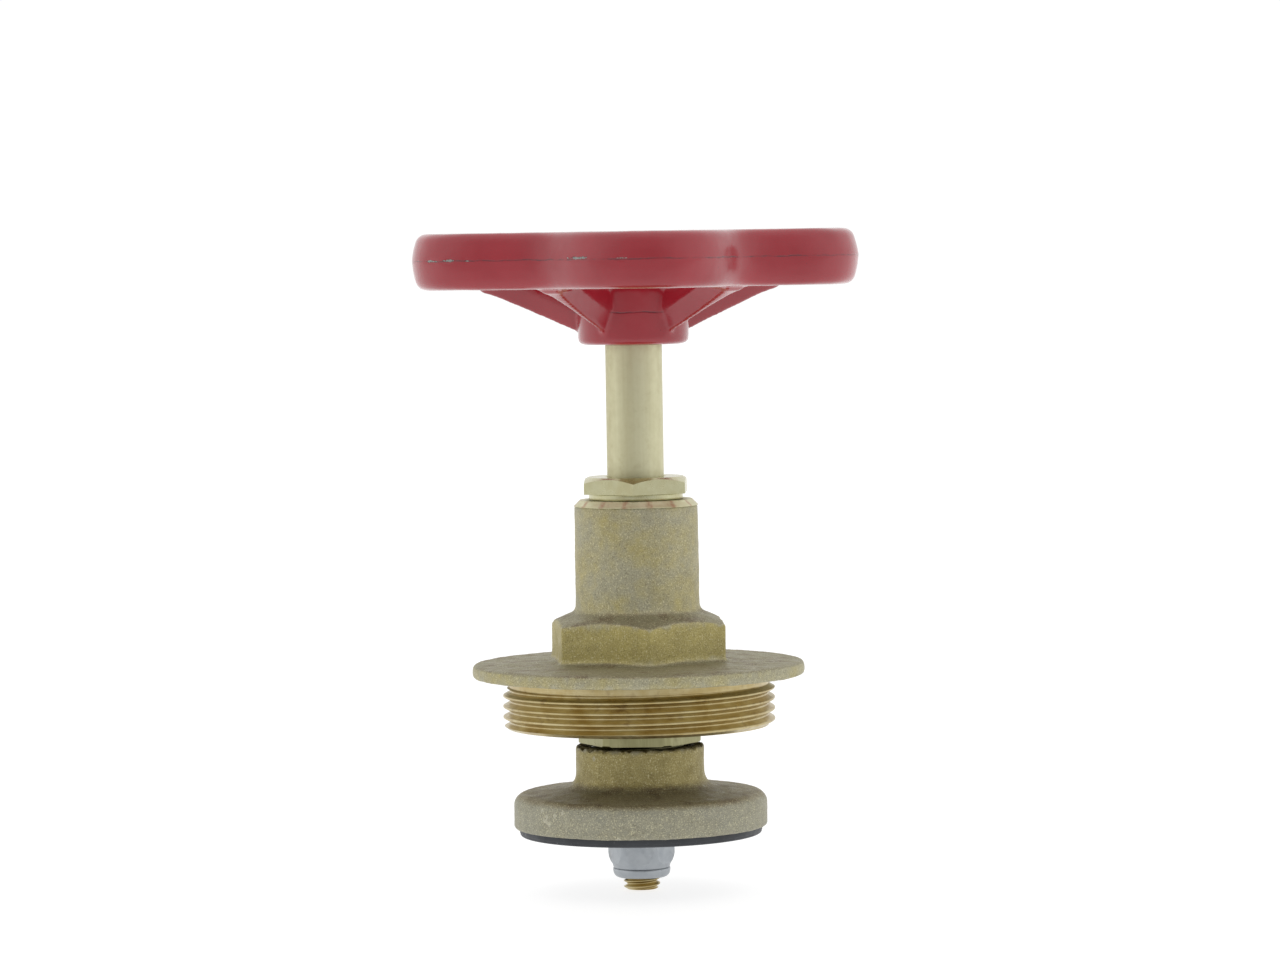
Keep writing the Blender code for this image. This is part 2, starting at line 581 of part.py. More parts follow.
def make_disc_holder(group):
    """Neck, disc and spigot in one casting."""
    fillet = NECK_FILLET
    shoulder = DISC_SHOULDER
    profile = [(0.0, NECK_TOP), (NECK_RADIUS, NECK_TOP)]
    profile += arc(NECK_RADIUS + fillet, DISC_TOP + fillet, fillet, 180, 270, 4)
    profile += arc(DISC_RADIUS - shoulder, DISC_SHOULDER_TOP - shoulder, shoulder, 90, 0, 4)
    profile += [(DISC_RADIUS, DISC_BOTTOM), (DISC_RADIUS - SEAL_WALL, DISC_BOTTOM)]
    profile += [(DISC_RADIUS - SEAL_WALL, DISC_BOTTOM + SEAL_RECESS)]
    profile += [(SPIGOT_RADIUS, DISC_BOTTOM + SEAL_RECESS)]
    profile += [(SPIGOT_RADIUS, SPIGOT_BOTTOM + EDGE_CHAMFER)]
    profile += [(SPIGOT_RADIUS - EDGE_CHAMFER, SPIGOT_BOTTOM), (0.0, SPIGOT_BOTTOM)]
    holder = turned("disc_holder", profile)
    bore = [(0.0, NECK_TOP + CUTTER_MARGIN), (NECK_BORE_RADIUS, NECK_TOP + CUTTER_MARGIN)]
    bore += [(NECK_BORE_RADIUS, NECK_FLOOR), (0.0, NECK_FLOOR)]
    cut(holder, as_helper(turned("disc_holder_bore", bore)))
    return finish(holder, group, 0.0, CAST_BRASS)


def make_disc_nut(group):
    """Stands on its hexagon's lower face, with its screw in the neck of the disc holder."""
    bore = STEM_THREAD_RADIUS + GAP
    screw = NECK_BORE_RADIUS - GAP
    length = DISC_NUT_SCREW + DISC_NUT_STANDOFF
    top = DISC_NUT_HEIGHT
    corner = DISC_NUT_RADIUS
    nut = hexagon("disc_retaining_nut", DISC_NUT_FLATS, 0.0, top, DISC_NUT_TURN)
    barrel = [(0.0, top), (corner - 2 * EDGE_CHAMFER, top), (corner, top - EDGE_CHAMFER)]
    barrel += [(corner, -CUTTER_MARGIN), (0.0, -CUTTER_MARGIN)]
    keep_inside(nut, as_helper(turned("disc_retaining_nut_round", barrel)))
    foot = [(0.0, top / 2), (screw, top / 2), (screw, EDGE_CHAMFER - length)]
    foot += [(screw - EDGE_CHAMFER, -length), (0.0, -length)]
    join(nut, as_helper(turned("disc_retaining_nut_screw", foot)))
    hole = [(0.0, top + CUTTER_MARGIN), (bore, top + CUTTER_MARGIN)]
    hole += [(bore, -length - CUTTER_MARGIN), (0.0, -length - CUTTER_MARGIN)]
    cut(nut, as_helper(turned("disc_retaining_nut_hole", hole)))
    return finish(nut, group, DISC_NUT_BOTTOM, MACHINED_BRASS)


def make_thrust_plate(group):
    """Stands on the floor of the disc's neck, under the spindle's foot."""
    profile = [(0.0, THRUST_PLATE_HEIGHT), (STEM_FOOT_RADIUS, THRUST_PLATE_HEIGHT)]
    profile += [(STEM_FOOT_RADIUS, 0.0), (0.0, 0.0)]
    plate = turned("thrust_plate", profile, SMALL_ROUND_STEPS)
    finish(plate, group, THRUST_PLATE_BOTTOM, ZINC_STEEL)


def make_seal(group):
    bore = SPIGOT_RADIUS + GAP
    chamfer = SEAL_CHAMFER
    profile = [(SEAL_RADIUS, SEAL_THICKNESS), (SEAL_RADIUS, chamfer)]
    profile += [(SEAL_RADIUS - chamfer, 0.0), (bore, 0.0), (bore, SEAL_THICKNESS)]
    seal = turned("seal_disc", profile, ring=True)
    finish(seal, group, SEAL_BOTTOM, BLACK_RUBBER)
    flat = washer("seal_washer", SEAL_WASHER_RADIUS, bore, SEAL_WASHER_HEIGHT)
    finish(flat, group, SEAL_WASHER_BOTTOM, ZINC_STEEL)


def make_lock_nut(group):
    """Hexagon on top, rolled collar below that holds the nylon insert."""
    bore = SPIGOT_RADIUS + GAP
    collar = LOCK_NUT_COLLAR_RADIUS
    corner = LOCK_NUT_CORNER_RADIUS
    hex_bottom = LOCK_NUT_HEIGHT - LOCK_NUT_HEX_HEIGHT
    insert_radius = bore + INSERT_WALL
    pocket = insert_radius + GAP
    roll = collar - pocket
    nut = hexagon("lock_nut", LOCK_NUT_FLATS, hex_bottom, LOCK_NUT_HEIGHT, LOCK_NUT_TURN)
    dome = [(0.0, LOCK_NUT_HEIGHT), (corner, LOCK_NUT_HEIGHT)]
    dome += arc(collar - roll, hex_bottom + 3 * roll, corner - collar + roll, 0, -60, 4)
    dome += [(collar - roll / 2, hex_bottom), (0.0, hex_bottom)]
    keep_inside(nut, as_helper(turned("lock_nut_dome", dome, SMALL_ROUND_STEPS)))
    foot = [(0.0, hex_bottom + roll), (collar - roll / 2, hex_bottom + roll)]
    foot += [(collar, hex_bottom - roll / 4)]
    foot += arc(collar - roll, roll, roll, 0, -90)
    foot += [(0.0, 0.0)]
    join(nut, as_helper(turned("lock_nut_collar", foot, SMALL_ROUND_STEPS)))
    insert_bottom = LOCK_NUT_LIP + GAP
    pocket_top = insert_bottom + INSERT_HEIGHT + GAP
    hole = [(0.0, LOCK_NUT_HEIGHT + CUTTER_MARGIN), (bore, LOCK_NUT_HEIGHT + CUTTER_MARGIN)]
    hole += [(bore, pocket_top), (pocket, pocket_top), (pocket, LOCK_NUT_LIP)]
    hole += [(bore + INSERT_WALL / 2, LOCK_NUT_LIP), (bore + INSERT_WALL / 2, -CUTTER_MARGIN)]
    hole += [(0.0, -CUTTER_MARGIN)]
    cut(nut, as_helper(turned("lock_nut_hole", hole, SMALL_ROUND_STEPS)))
    finish(nut, group, LOCK_NUT_BOTTOM, ZINC_STEEL)
    insert = washer("lock_nut_insert", insert_radius, bore, INSERT_HEIGHT)
    finish(insert, group, LOCK_NUT_BOTTOM + insert_bottom, GREY_NYLON)


clear_scene()
parts = new_collection("valve_headwork")
cutters = new_collection("cutters")

bonnet_group = new_group("bonnet_group")
make_bonnet(bonnet_group)
make_gland_nut(bonnet_group)
make_stuffing(bonnet_group)

disc_group = new_group("disc_group")
disc_group.parent = bonnet_group
make_disc_holder(disc_group)
make_disc_nut(disc_group)
make_thrust_plate(disc_group)
make_seal(disc_group)
make_lock_nut(disc_group)

spindle_group = new_group("spindle_group")
spindle_group.parent = disc_group
make_stem(spindle_group)
make_handwheel(spindle_group)
make_wheel_fasteners(spindle_group)
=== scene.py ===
"""The looks of a stop valve's headwork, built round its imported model.

The castings are joined from turned and hexagonal stock, evened out and given a sand skin. The
machined brass, the threads and the fasteners are turned and cut crisp, and the handwheel is one
lacquered casting. Sizes are in millimetres until they reach Blender, and heights are measured
from the flange's sealing face, as in the model.
"""

import math

import bmesh
import bpy
from mathutils import Matrix, Vector, noise


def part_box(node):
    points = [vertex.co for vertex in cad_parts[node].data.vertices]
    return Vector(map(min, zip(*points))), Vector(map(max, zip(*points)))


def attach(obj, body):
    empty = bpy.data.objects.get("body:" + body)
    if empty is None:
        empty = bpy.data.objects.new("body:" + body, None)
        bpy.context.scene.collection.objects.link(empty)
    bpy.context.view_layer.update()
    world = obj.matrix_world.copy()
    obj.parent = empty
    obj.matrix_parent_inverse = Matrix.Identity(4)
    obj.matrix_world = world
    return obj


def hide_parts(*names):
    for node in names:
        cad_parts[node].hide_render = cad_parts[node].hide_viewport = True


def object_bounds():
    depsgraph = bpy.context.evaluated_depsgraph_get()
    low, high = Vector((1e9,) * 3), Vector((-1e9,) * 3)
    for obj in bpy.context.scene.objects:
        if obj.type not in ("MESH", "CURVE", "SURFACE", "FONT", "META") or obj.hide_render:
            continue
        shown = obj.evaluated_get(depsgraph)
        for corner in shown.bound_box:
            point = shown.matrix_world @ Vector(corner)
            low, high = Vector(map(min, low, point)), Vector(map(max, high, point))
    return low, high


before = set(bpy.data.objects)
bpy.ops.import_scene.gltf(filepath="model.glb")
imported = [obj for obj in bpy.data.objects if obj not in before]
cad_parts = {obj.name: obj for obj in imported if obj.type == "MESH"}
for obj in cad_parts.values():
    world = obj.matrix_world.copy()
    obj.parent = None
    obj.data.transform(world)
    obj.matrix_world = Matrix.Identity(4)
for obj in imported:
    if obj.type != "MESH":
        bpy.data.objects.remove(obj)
cad_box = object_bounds()

MM = 0.001
WELD = 0.005  # points nearer than this are merged
CUT_SNAP = 0.0001  # a cutting plane takes in points nearer than this
GAP = 0.3  # between neighbours, as in the model
SNUG = 0.03  # between neighbours whose gap would be seen
ROUND_STEPS = 128
FINE_STEPS = 192
SMALL_STEPS = 64
RIM_STEPS = 240
CAST_VOXEL = 0.5
DISC_VOXEL = 0.38


def level(node, end):
    """Height in millimetres of a node's lower (0) or upper (1) end."""
    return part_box(node)[end].z / MM


def span(node):
    """Heights in millimetres of both ends of a node."""
    return level(node, 0), level(node, 1)


def reach(node):
    """Largest distance in millimetres from the stem's axis of a round node."""
    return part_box(node)[1].x / MM


# Camera: where it stands from the stem's axis, and how it is tilted
CAMERA_DISTANCE = 1050.0
CAMERA_SIDE = 0.96
CAMERA_HEIGHT = 95.2
CAMERA_DIP = math.radians(2.86)
CAMERA_ROLL = math.radians(-0.911)
CAMERA_LENS = 135.2

# Bonnet
FLANGE_RADIUS = 36.4
FLANGE_TOP = 2.9
FLANGE_CROWN = 0.5
BARREL_RADIUS = 13.55
BARREL_TOP = level("bonnet", 1)
MOUTH_RADIUS = 12.3
MOUTH_CHAMFER = 1.25
BONNET_FLATS = 36.0
BONNET_HEX_TOP = 14.4
BONNET_HEX_SLOPE = math.radians(23)
BONNET_HEX_TURN = math.radians(6.9)
BONNET_BORE = 7.3
BOX_RADIUS = 9.9
BOX_FLOOR = level("packing_washer", 0) - GAP
SKIRT_END = level("bonnet", 0)
SKIRT_INSIDE = 24.52
SKIRT_OUTSIDE = 27.4
BODY_THREAD = {"radius": 29.8, "depth": 1.48, "pitch": 2.309, "flank": 27.5, "rounding": 0.3}
BODY_THREAD_START = -2.85

# Gland nut
GLAND_FLATS = 22.0
GLAND_TURN = math.radians(-2.6)
GLAND_HEX_HEIGHT = 3.6
GLAND_COLLAR = 10.3
GLAND_THREAD = {"radius": 9.6, "depth": 0.8, "pitch": 1.5, "flank": 30.0, "rounding": 0.1}

# Stem
STEM_RADIUS = 6.2
STEM_THREAD = {"radius": 7.0, "depth": 1.5, "pitch": 3.0, "flank": 15.0, "rounding": 0.15}
STEM_SCREW_END = -7.4
STEM_SQUARE = 8.5
END_THREAD = {"radius": 4.0, "depth": 0.75, "pitch": 1.25, "flank": 30.0, "rounding": 0.1}

# Handwheel
LOBES = 5
FIRST_LOBE = math.radians(4.4 - 90.0)
HUB_RADIUS = 12.1
HUB_BOTTOM = level("handwheel", 0)
HUB_TOP = level("wheel_washer", 0) - GAP
HUB_SQUARE = 9.1
HUB_PARTING_HEIGHT = 79.6
RIM_TOP = level("handwheel", 1)
RIM_BASE = RIM_TOP - 12.2
RIM_PARTING_HEIGHT = RIM_BASE + 6.3
RIM_OUTSIDE = (50.0, 38.6, 0.5)  # radius at a lobe and in a valley, and how full it is between
RIM_INSIDE = (38.0, 26.0, 0.6)
SPOKE_SLOPE = math.radians(23.7)
SPOKE_PLACES = (7.0, 12.0, 15.0, 19.0, 23.0, 26.0, 28.5, 30.5, 32.5, 34.0)
SPOKE_DIP_START = 30.0
SPOKE_DIP = 0.035
WHEEL_NUT_FLATS = 13.0
WHEEL_NUT_BORE = 4.05
WHEEL_NUT_TURN = math.radians(12)
BOLT_BORE = 4.3
SPRING_STEPS = 72
SPRING_TURN = math.radians(348)

# Disc
NECK_TOP = level("disc_holder", 1)
NECK_RADIUS = 14.1
NECK_BORE = 11.0
DISC_RADIUS = reach("disc_holder")
DISC_BOTTOM = -33.1
DISC_SHOULDER_TOP = -25.5
NECK_FOOT = -24.6
SEAL_LIP = 0.85
SEAL_RECESS = 2.15
DISC_NUT_FLATS = 24.0
DISC_NUT_TURN = math.radians(26.7)
DISC_NUT_THREAD = {"radius": 10.7, "depth": 0.85, "pitch": 1.5, "flank": 30.0, "rounding": 0.1}
LOCK_NUT_FLATS = 13.0
LOCK_NUT_TURN = math.radians(25)
LOCK_NUT_COLLAR = 6.3
LOCK_NUT_HEX_HEIGHT = 5.7
INSERT_BORE = 4.2
PACKING_RINGS = 4

# Stage
FLOOR_SIZE = 12.0
FLOOR_GLOW = 0.8
FLOOR_FRONT_GLOW = FLOOR_GLOW * 0.55
FLOOR_FADE = (-130.0, -450.0)  # where the glow starts to fall towards the camera, and where it ends
WORLD_LIGHT = 1.03
WORLD_FRONT_LIGHT = 0.50
WORLD_FADE = (-0.35, -0.95)  # between which Y of the way looked along the light falls

# Colours that more than one casting has
GRAIN_LIGHT = (0.74, 0.69, 0.44)
GRAIN_DARK = (0.15, 0.125, 0.06)
# Painted highlight on the castings' convex edges
EDGE_HIGHLIGHT = (0.53, 0.51, 0.40)

# Red marks round the barrel's mouth: how many, and how far they are turned, counted in marks
MOUTH_MARKS = 15
MOUTH_MARK_TURN = 20.69

# Places and sizes of the wheel's knocks: angle in degrees from the front, height, length, width
CHIPS = (
    (-14.6, 91.6, 5.0, 0.62),
    (-60.5, 91.3, 3.6, 0.42),
    (-55.0, 91.4, 2.4, 0.5),
    (-50.5, 91.3, 1.0, 0.22),
    (-2.6, 91.5, 2.4, 0.16),
)
KNOCK_DEPTH = 0.18
KNOCK_WIDTH = 0.6  # no dent is narrower than twice this


# Shaping, as at the bench: one piece at a time


def put_down():
    """Leaves edit mode and deselects everything, so that the next tool meets one piece alone."""
    if bpy.context.object and bpy.context.object.mode != "OBJECT":
        bpy.ops.object.mode_set(mode="OBJECT")
    bpy.ops.object.select_all(action="DESELECT")


def pick_up(piece):
    """The piece alone is selected and active."""
    put_down()
    piece.select_set(True)
    bpy.context.view_layer.objects.active = piece


def open_up(piece, action="SELECT"):
    """Into the piece's edit mode, with all of its mesh selected, or none of it."""
    pick_up(piece)
    bpy.ops.object.mode_set(mode="EDIT")
    bpy.ops.mesh.select_all(action=action)


def shut():
    """Out of edit mode."""
    bpy.ops.object.mode_set(mode="OBJECT")


def settle(piece):
    """The piece's place, turn and scale go into its mesh."""
    pick_up(piece)
    bpy.ops.object.transform_apply(location=True, rotation=True, scale=True)
    return piece


def close_up(piece):
    """Merges doubled points and turns every face outwards."""
    open_up(piece)
    bpy.ops.mesh.remove_doubles(threshold=WELD * MM)
    bpy.ops.mesh.normals_make_consistent(inside=False)
    shut()
    return piece


def apply(piece, kind, **settings):
    """Adds a modifier and applies it."""
    pick_up(piece)
    modifier = piece.modifiers.new(kind.title(), kind)
    for name, value in settings.items():
        setattr(modifier, name, value)
    bpy.ops.object.modifier_apply(modifier=modifier.name)
    return piece


def combine(piece, tool, operation):
    """Joins, cuts or intersects the piece with another, which is used up."""
    apply(piece, "BOOLEAN", object=tool, operation=operation, solver="MANIFOLD")
    bpy.data.objects.remove(tool)
    return piece


def join(piece, tool):
    return combine(piece, tool, "UNION")


def cut(piece, tool):
    return combine(piece, tool, "DIFFERENCE")


def keep_inside(piece, tool):
    return combine(piece, tool, "INTERSECT")


def arc(radius, height, size, start, end, steps=6):
    """Points of a round corner about (radius, height), between two angles in degrees."""
    angles = [math.radians(start + (end - start) * i / steps) for i in range(steps + 1)]
    return [(radius + size * math.cos(a), height + size * math.sin(a)) for a in angles]


def outline(name, points):
    """A wire through (radius, height) points, drawn by extruding one vertex along them."""
    put_down()
    radius, height = points[0]
    bpy.ops.mesh.primitive_plane_add(size=MM, location=(radius * MM, 0, height * MM))
    piece = bpy.context.object
    piece.name = name
    piece.data.name = name
    open_up(piece)
    bpy.ops.mesh.merge(type="CENTER")
    for (r, z), (next_r, next_z) in zip(points, points[1:]):
        step = ((next_r - r) * MM, 0, (next_z - z) * MM)
        bpy.ops.mesh.extrude_vertices_move(TRANSFORM_OT_translate={"value": step})
    shut()
    return settle(piece)


def turned(name, points, steps=ROUND_STEPS):
    """An outline spun round the stem's axis. It ends on the axis, or where it began."""
    piece = outline(name, points)
    open_up(piece)
    bpy.ops.mesh.spin(steps=steps, angle=math.tau, center=(0, 0, 0), axis=(0, 0, 1))
    return close_up(piece)


def ring_section(outer, inner, bottom, top, edge, steps):
    """Closed outline of a rectangle with its four corners rounded."""
    points = arc(outer - edge, top - edge, edge, 90, 0, steps)
    points += arc(outer - edge, bottom + edge, edge, 0, -90, steps)
    points += arc(inner + edge, bottom + edge, edge, -90, -180, steps)
    points += arc(inner + edge, top - edge, edge, 180, 90, steps)
    return [*points, points[0]]


def washer(name, node, bore, edge=0.15):
    """A turned ring with its four edges rounded, where a node stands."""
    return turned(name, ring_section(reach(node), bore, *span(node), edge, 3))


def square_bar(name, width, bottom, top):
    """A square bar on the stem's axis."""
    put_down()
    bpy.ops.mesh.primitive_cube_add(size=1, location=(0, 0, (bottom + top) / 2 * MM))
    piece = bpy.context.object
    piece.name = name
    piece.scale = (width * MM, width * MM, (top - bottom) * MM)
    return settle(piece)


def hexagon(name, flats, bottom, top, turn, edge=0.12):
    """A hexagonal bar with softened corners. With no turn, one corner points to the front."""
    put_down()
    bpy.ops.mesh.primitive_cylinder_add(
        vertices=6,
        radius=flats / math.sqrt(3) * MM,
        depth=(top - bottom) * MM,
        location=(0, 0, (top + bottom) / 2 * MM),
    )
    piece = bpy.context.object
    piece.name = name
    corner = math.atan2(piece.data.vertices[0].co.y, piece.data.vertices[0].co.x)
    piece.rotation_euler.z = turn - math.pi / 2 - corner
    settle(piece)
    open_up(piece, "DESELECT")
    shape = bmesh.from_edit_mesh(piece.data)
    for side in shape.edges:
        low, high = side.verts
        side.select = abs(low.co.z - high.co.z) > MM * (top - bottom) / 2
    bmesh.update_edit_mesh(piece.data)
    bpy.ops.mesh.bevel(offset=edge * MM, segments=3)
    shut()
    return piece


def cone_end(radius, flat, slope, face, far):
    """Outline of a solid that bevels a hexagon's end: flat to a radius, then sloping to far."""
    fall = (radius - flat) * math.tan(slope) * (1 if far < face else -1)
    return [(0, face), (flat, face), (radius, face - fall), (radius, far), (0, far)]


def thread_ridge(thread):
    """One turn's outline of a thread, from the middle of a root over its crest to the next."""
    radius, depth, pitch = thread["radius"], thread["depth"], thread["pitch"]
    rounding = thread["rounding"]
    swing = 90 - thread["flank"]
    crest_half = pitch / 4 - depth / 2 * math.tan(math.radians(thread["flank"]))
    crest_half = max(crest_half - rounding * math.tan(math.radians(swing) / 2), 0)
    points = [(radius - depth, -pitch / 2)]
    root = radius - depth + rounding
    foot = -pitch / 2 + crest_half
    points += [(2 * root - r, z) for r, z in arc(root, foot, rounding, 0, swing, 4)]
    points += arc(radius - rounding, -crest_half, rounding, -swing, 0, 4)
    points += arc(radius - rounding, crest_half, rounding, 0, swing, 4)
    foot = pitch / 2 - crest_half
    points += [(2 * root - r, z) for r, z in arc(root, foot, rounding, -swing, 0, 4)]
    kept = points[:1]
    for point in points[1:]:
        if WELD * 3 < math.dist(point, kept[-1]) and abs(point[1]) < pitch / 2 - WELD * 3:
            kept.append(point)
    return [*kept, (radius - depth, pitch / 2)]


def threaded_rod(name, thread, bottom, top, start=0.0, steps=96):
    """A closed rod with a right-hand thread whose crest passes the +X side at height start."""
    pitch = thread["pitch"]
    spare = 2
    turns = math.ceil((top - bottom) / pitch) + 2 * spare + 1
    first = start - pitch * (math.ceil((start - bottom) / pitch) + spare)
    piece = outline(name, [(r, first + z) for r, z in thread_ridge(thread)])
    apply(
        piece,
        "SCREW",
        axis="Z",
        steps=steps,
        render_steps=steps,
        screw_offset=pitch * MM,
        iterations=turns,
        use_merge_vertices=True,
        merge_threshold=WELD * MM,
    )
    close_up(piece)
    open_up(piece)
    for height, upward in ((bottom, False), (top, True)):
        bpy.ops.mesh.select_all(action="SELECT")
        bpy.ops.mesh.bisect(
            plane_co=(0, 0, height * MM),
            plane_no=(0, 0, 1),
            threshold=CUT_SNAP * MM,
            use_fill=True,
            clear_inner=not upward,
            clear_outer=upward,
        )
    shut()
    return close_up(piece)


def even_out(piece, voxel, smoothing):
    """One even skin over joined shapes, with the corners and the joints between them eased."""
    apply(piece, "REMESH", mode="VOXEL", voxel_size=voxel * MM)
    return apply(piece, "SMOOTH", factor=0.5, iterations=smoothing)


def roughen(piece, size, amount, name):
    """Pushes the skin in and out by a cloudy pattern of a given grain size."""
    pattern = bpy.data.textures.new(name, "CLOUDS")
    pattern.noise_scale = size * MM
    pattern.noise_depth = 2
    return apply(piece, "DISPLACE", texture=pattern, strength=amount * MM, mid_level=0.6)


# Finishes


def add(tree, kind, inputs=None, **settings):
    """A node with its settings, whose inputs are values or the outputs of other nodes."""
    made = tree.nodes.new("ShaderNode" + kind)
    for name, value in settings.items():
        setattr(made, name, value)
    for socket, value in (inputs or {}).items():
        if isinstance(value, bpy.types.NodeSocket):
            tree.links.new(value, made.inputs[socket])
        else:
            made.inputs[socket].default_value = value
    return made


def new_finish(name, roughness, metallic, **fixed):
    """A material, its tree, its shader and the piece's own coordinates."""
    material = bpy.data.materials.new(name)
    material.use_nodes = True
    tree = material.node_tree
    shader = tree.nodes["Principled BSDF"]
    shader.inputs["Roughness"].default_value = roughness
    shader.inputs["Metallic"].default_value = metallic
    for socket, value in fixed.items():
        shader.inputs[socket.replace("_", " ")].default_value = value
    place = add(tree, "TexCoord").outputs["Object"]
    return material, tree, shader, place


def cloud(tree, place, size, detail=4.0, roughness=0.55, stretch=(1, 1, 1), shift=(0, 0, 0)):
    """Cloudy values from 0 to 1, with patches of about a size in millimetres."""
    moved = add(tree, "Mapping", {"Vector": place, "Scale": stretch, "Location": shift})
    inputs = {
        "Vector": moved.outputs["Vector"],
        "Scale": 1 / (size * MM),
        "Detail": detail,
        "Roughness": roughness,
    }
    return add(tree, "TexNoise", inputs).outputs["Fac"]


def grains(tree, place, size):
    """Distance from the nearest of scattered points, about a size in millimetres apart."""
    inputs = {"Vector": place, "Scale": 1 / (size * MM)}
    return add(tree, "TexVoronoi", inputs).outputs["Distance"]


def between(tree, value, low, high, start=0.0, end=1.0):
    """Runs from start to end as the value runs from low to high, and stays there beyond."""
    inputs = {"Value": value, "From Min": low, "From Max": high, "To Min": start, "To Max": end}
    return add(tree, "MapRange", inputs, clamp=True).outputs["Result"]


def sums(tree, operation, first, second=0.0):
    """One step of arithmetic on two values."""
    return add(tree, "Math", {0: first, 1: second}, operation=operation).outputs["Value"]


def plus(tree, first, second):
    return sums(tree, "ADD", first, second)


def times(tree, first, second):
    return sums(tree, "MULTIPLY", first, second)


def mixed(tree, share, first, second, blend="MIX"):
    """A colour between two, which are colours or nodes' outputs."""
    made = add(tree, "Mix", data_type="RGBA", blend_type=blend)
    for socket, value in zip((0, 6, 7), (share, first, second)):
        if isinstance(value, bpy.types.NodeSocket):
            tree.links.new(value, made.inputs[socket])
        elif socket:
            made.inputs[socket].default_value = (*value, 1.0)
        else:
            made.inputs[socket].default_value = value
    return made.outputs[2]


def relief(tree, height, depth, strength=1.0, under=None):
    """A bump of a depth in millimetres, over another one."""
    inputs = {"Height": height, "Distance": depth * MM, "Strength": strength}
    if under:
        inputs["Normal"] = under
    return add(tree, "Bump", inputs).outputs["Normal"]


def wire(tree, shader, colour=None, rough=None, normal=None):
    """Links what is given to the shader."""
    for socket, value in (("Base Color", colour), ("Roughness", rough), ("Normal", normal)):
        if value:
            tree.links.new(value, shader.inputs[socket])


def facing(tree, low, high):
    """From 0 to 1 as the surface turns from facing down to facing up, within two limits."""
    normal = add(tree, "NewGeometry").outputs["Normal"]
    upward = add(tree, "SeparateXYZ", {"Vector": normal}).outputs["Z"]
    return between(tree, upward, low, high)


def in_band(tree, height, low, high):
    """1 between two heights in millimetres and 0 beyond them, changing over 2 mm."""
    above = between(tree, height, (low - 1) * MM, (low + 1) * MM)
    below = between(tree, height, (high + 1) * MM, (high - 1) * MM)
    return times(tree, above, below)


def sand_cast_brass(name, golden, grey, upper, stain_colour, band, least, shift):
    """Cast skin: golden metal in a band of heights, under grey patches elsewhere that are partly the
    metal's own dull film and partly painted highlight, with fine grains. Faces turned up take painted
    shade and convex edges painted highlight.
    """
    material, tree, shader, place = new_finish(name, 0.55, 0.62)
    patches = cloud(tree, place, 11.0, 3.0, 0.6, shift=shift)
    blotches = cloud(tree, place, 2.4, 4.0, 0.6, shift=shift)
    both = plus(tree, times(tree, patches, 0.6), times(tree, blotches, 0.4))
    # Grey patches: partly the metal's own dull film and partly painted highlight, held back on the
    # hexagon's flats
    bloom_and_highlight = between(tree, both, 0.36, 0.60, least, 1.0)
    height = add(tree, "SeparateXYZ", {"Vector": place}).outputs["Z"]
    wander = between(tree, blotches, 0.2, 0.8, -1.5 * MM, 1.5 * MM)
    inside = in_band(tree, plus(tree, height, wander), *band)
    bloom_and_highlight = times(tree, bloom_and_highlight, between(tree, inside, 0.0, 1.0, 1.0, 0.2))
    colour = mixed(tree, bloom_and_highlight, golden, grey)
    # Faces turned up are painted in the darker upper tone: painted shade
    upward = facing(tree, 0.45, 0.85)
    colour = mixed(tree, upward, colour, upper)
    stain = between(tree, cloud(tree, place, 5.0, 5.0, 0.7, shift=(0.03, 0.02, 0.01)), 0.52, 0.62)
    stain = times(tree, stain, plus(tree, times(tree, upward, 0.6), 0.1))
    colour = mixed(tree, stain, colour, stain_colour)
    # Convex edges are painted lighter: painted highlight
    pointed = add(tree, "NewGeometry").outputs["Pointiness"]
    uneven = between(tree, blotches, 0.3, 0.7, -0.03, 0.03)
    edge_highlight = between(tree, plus(tree, pointed, uneven), 0.53, 0.58)
    colour = mixed(tree, times(tree, edge_highlight, 0.55), colour, EDGE_HIGHLIGHT)
    fine = cloud(tree, place, 0.27, 2.0, 0.5)
    bright = between(tree, fine, 0.56, 0.70, 0.0, 0.65)
    dark = between(tree, fine, 0.44, 0.30, 0.0, 0.55)
    colour = mixed(tree, bright, colour, GRAIN_LIGHT)
    colour = mixed(tree, dark, colour, GRAIN_DARK)
    rough = between(tree, blotches, 0.3, 0.7, 0.42, 0.68)
    coarse = relief(tree, cloud(tree, place, 1.1, 3.0), 0.16, 0.7)
    wire(tree, shader, colour, rough, relief(tree, fine, 0.09, 0.9, coarse))
    return material


def machined_brass(
    name, colour_low, colour_high, tarnish, roughness, rings=0.0, streaks=0.0, polish=1.0, dirt=0.6
):
    """Turned or milled brass: fine tool marks round it or along it, and a little tarnish."""
    material, tree, shader, place = new_finish(name, roughness, 1.0)
    drawn = (1.0, 1.0, 0.04) if streaks else (1.0, 1.0, 1.0)
    soft = cloud(tree, place, 5.0, 4.0, 0.6, stretch=drawn)
    colour = mixed(tree, between(tree, soft, 0.38, 0.62), colour_low, colour_high)
    spots = cloud(tree, place, 2.6, 5.0, 0.65, shift=(0.01, 0.02, 0.03))
    spots = between(tree, spots, 0.56, 0.74, 0.0, dirt)
    colour = mixed(tree, spots, colour, tarnish)
    if rings:
        marks = cloud(tree, place, rings, 3.0, 0.6, stretch=(0.02, 0.02, 1.0))
        depth = 0.02
    elif streaks:
        marks = cloud(tree, place, streaks, 3.0, 0.6, stretch=(1.0, 1.0, 0.05))
        depth = 0.015
    else:
        marks = cloud(tree, place, 0.9, 2.0, 0.6)
        depth = 0.012
    shade = between(tree, marks, 0.35, 0.65, 0.0, 0.22 * polish)
    colour = mixed(tree, shade, colour, colour_low, "MULTIPLY")
    rough = cloud(tree, place, 1.6, 4.0, 0.6)
    rough = between(tree, rough, 0.3, 0.7, roughness * 0.85, roughness * 1.2)
    wire(tree, shader, colour, rough, relief(tree, marks, depth * polish, 0.8))
    return material


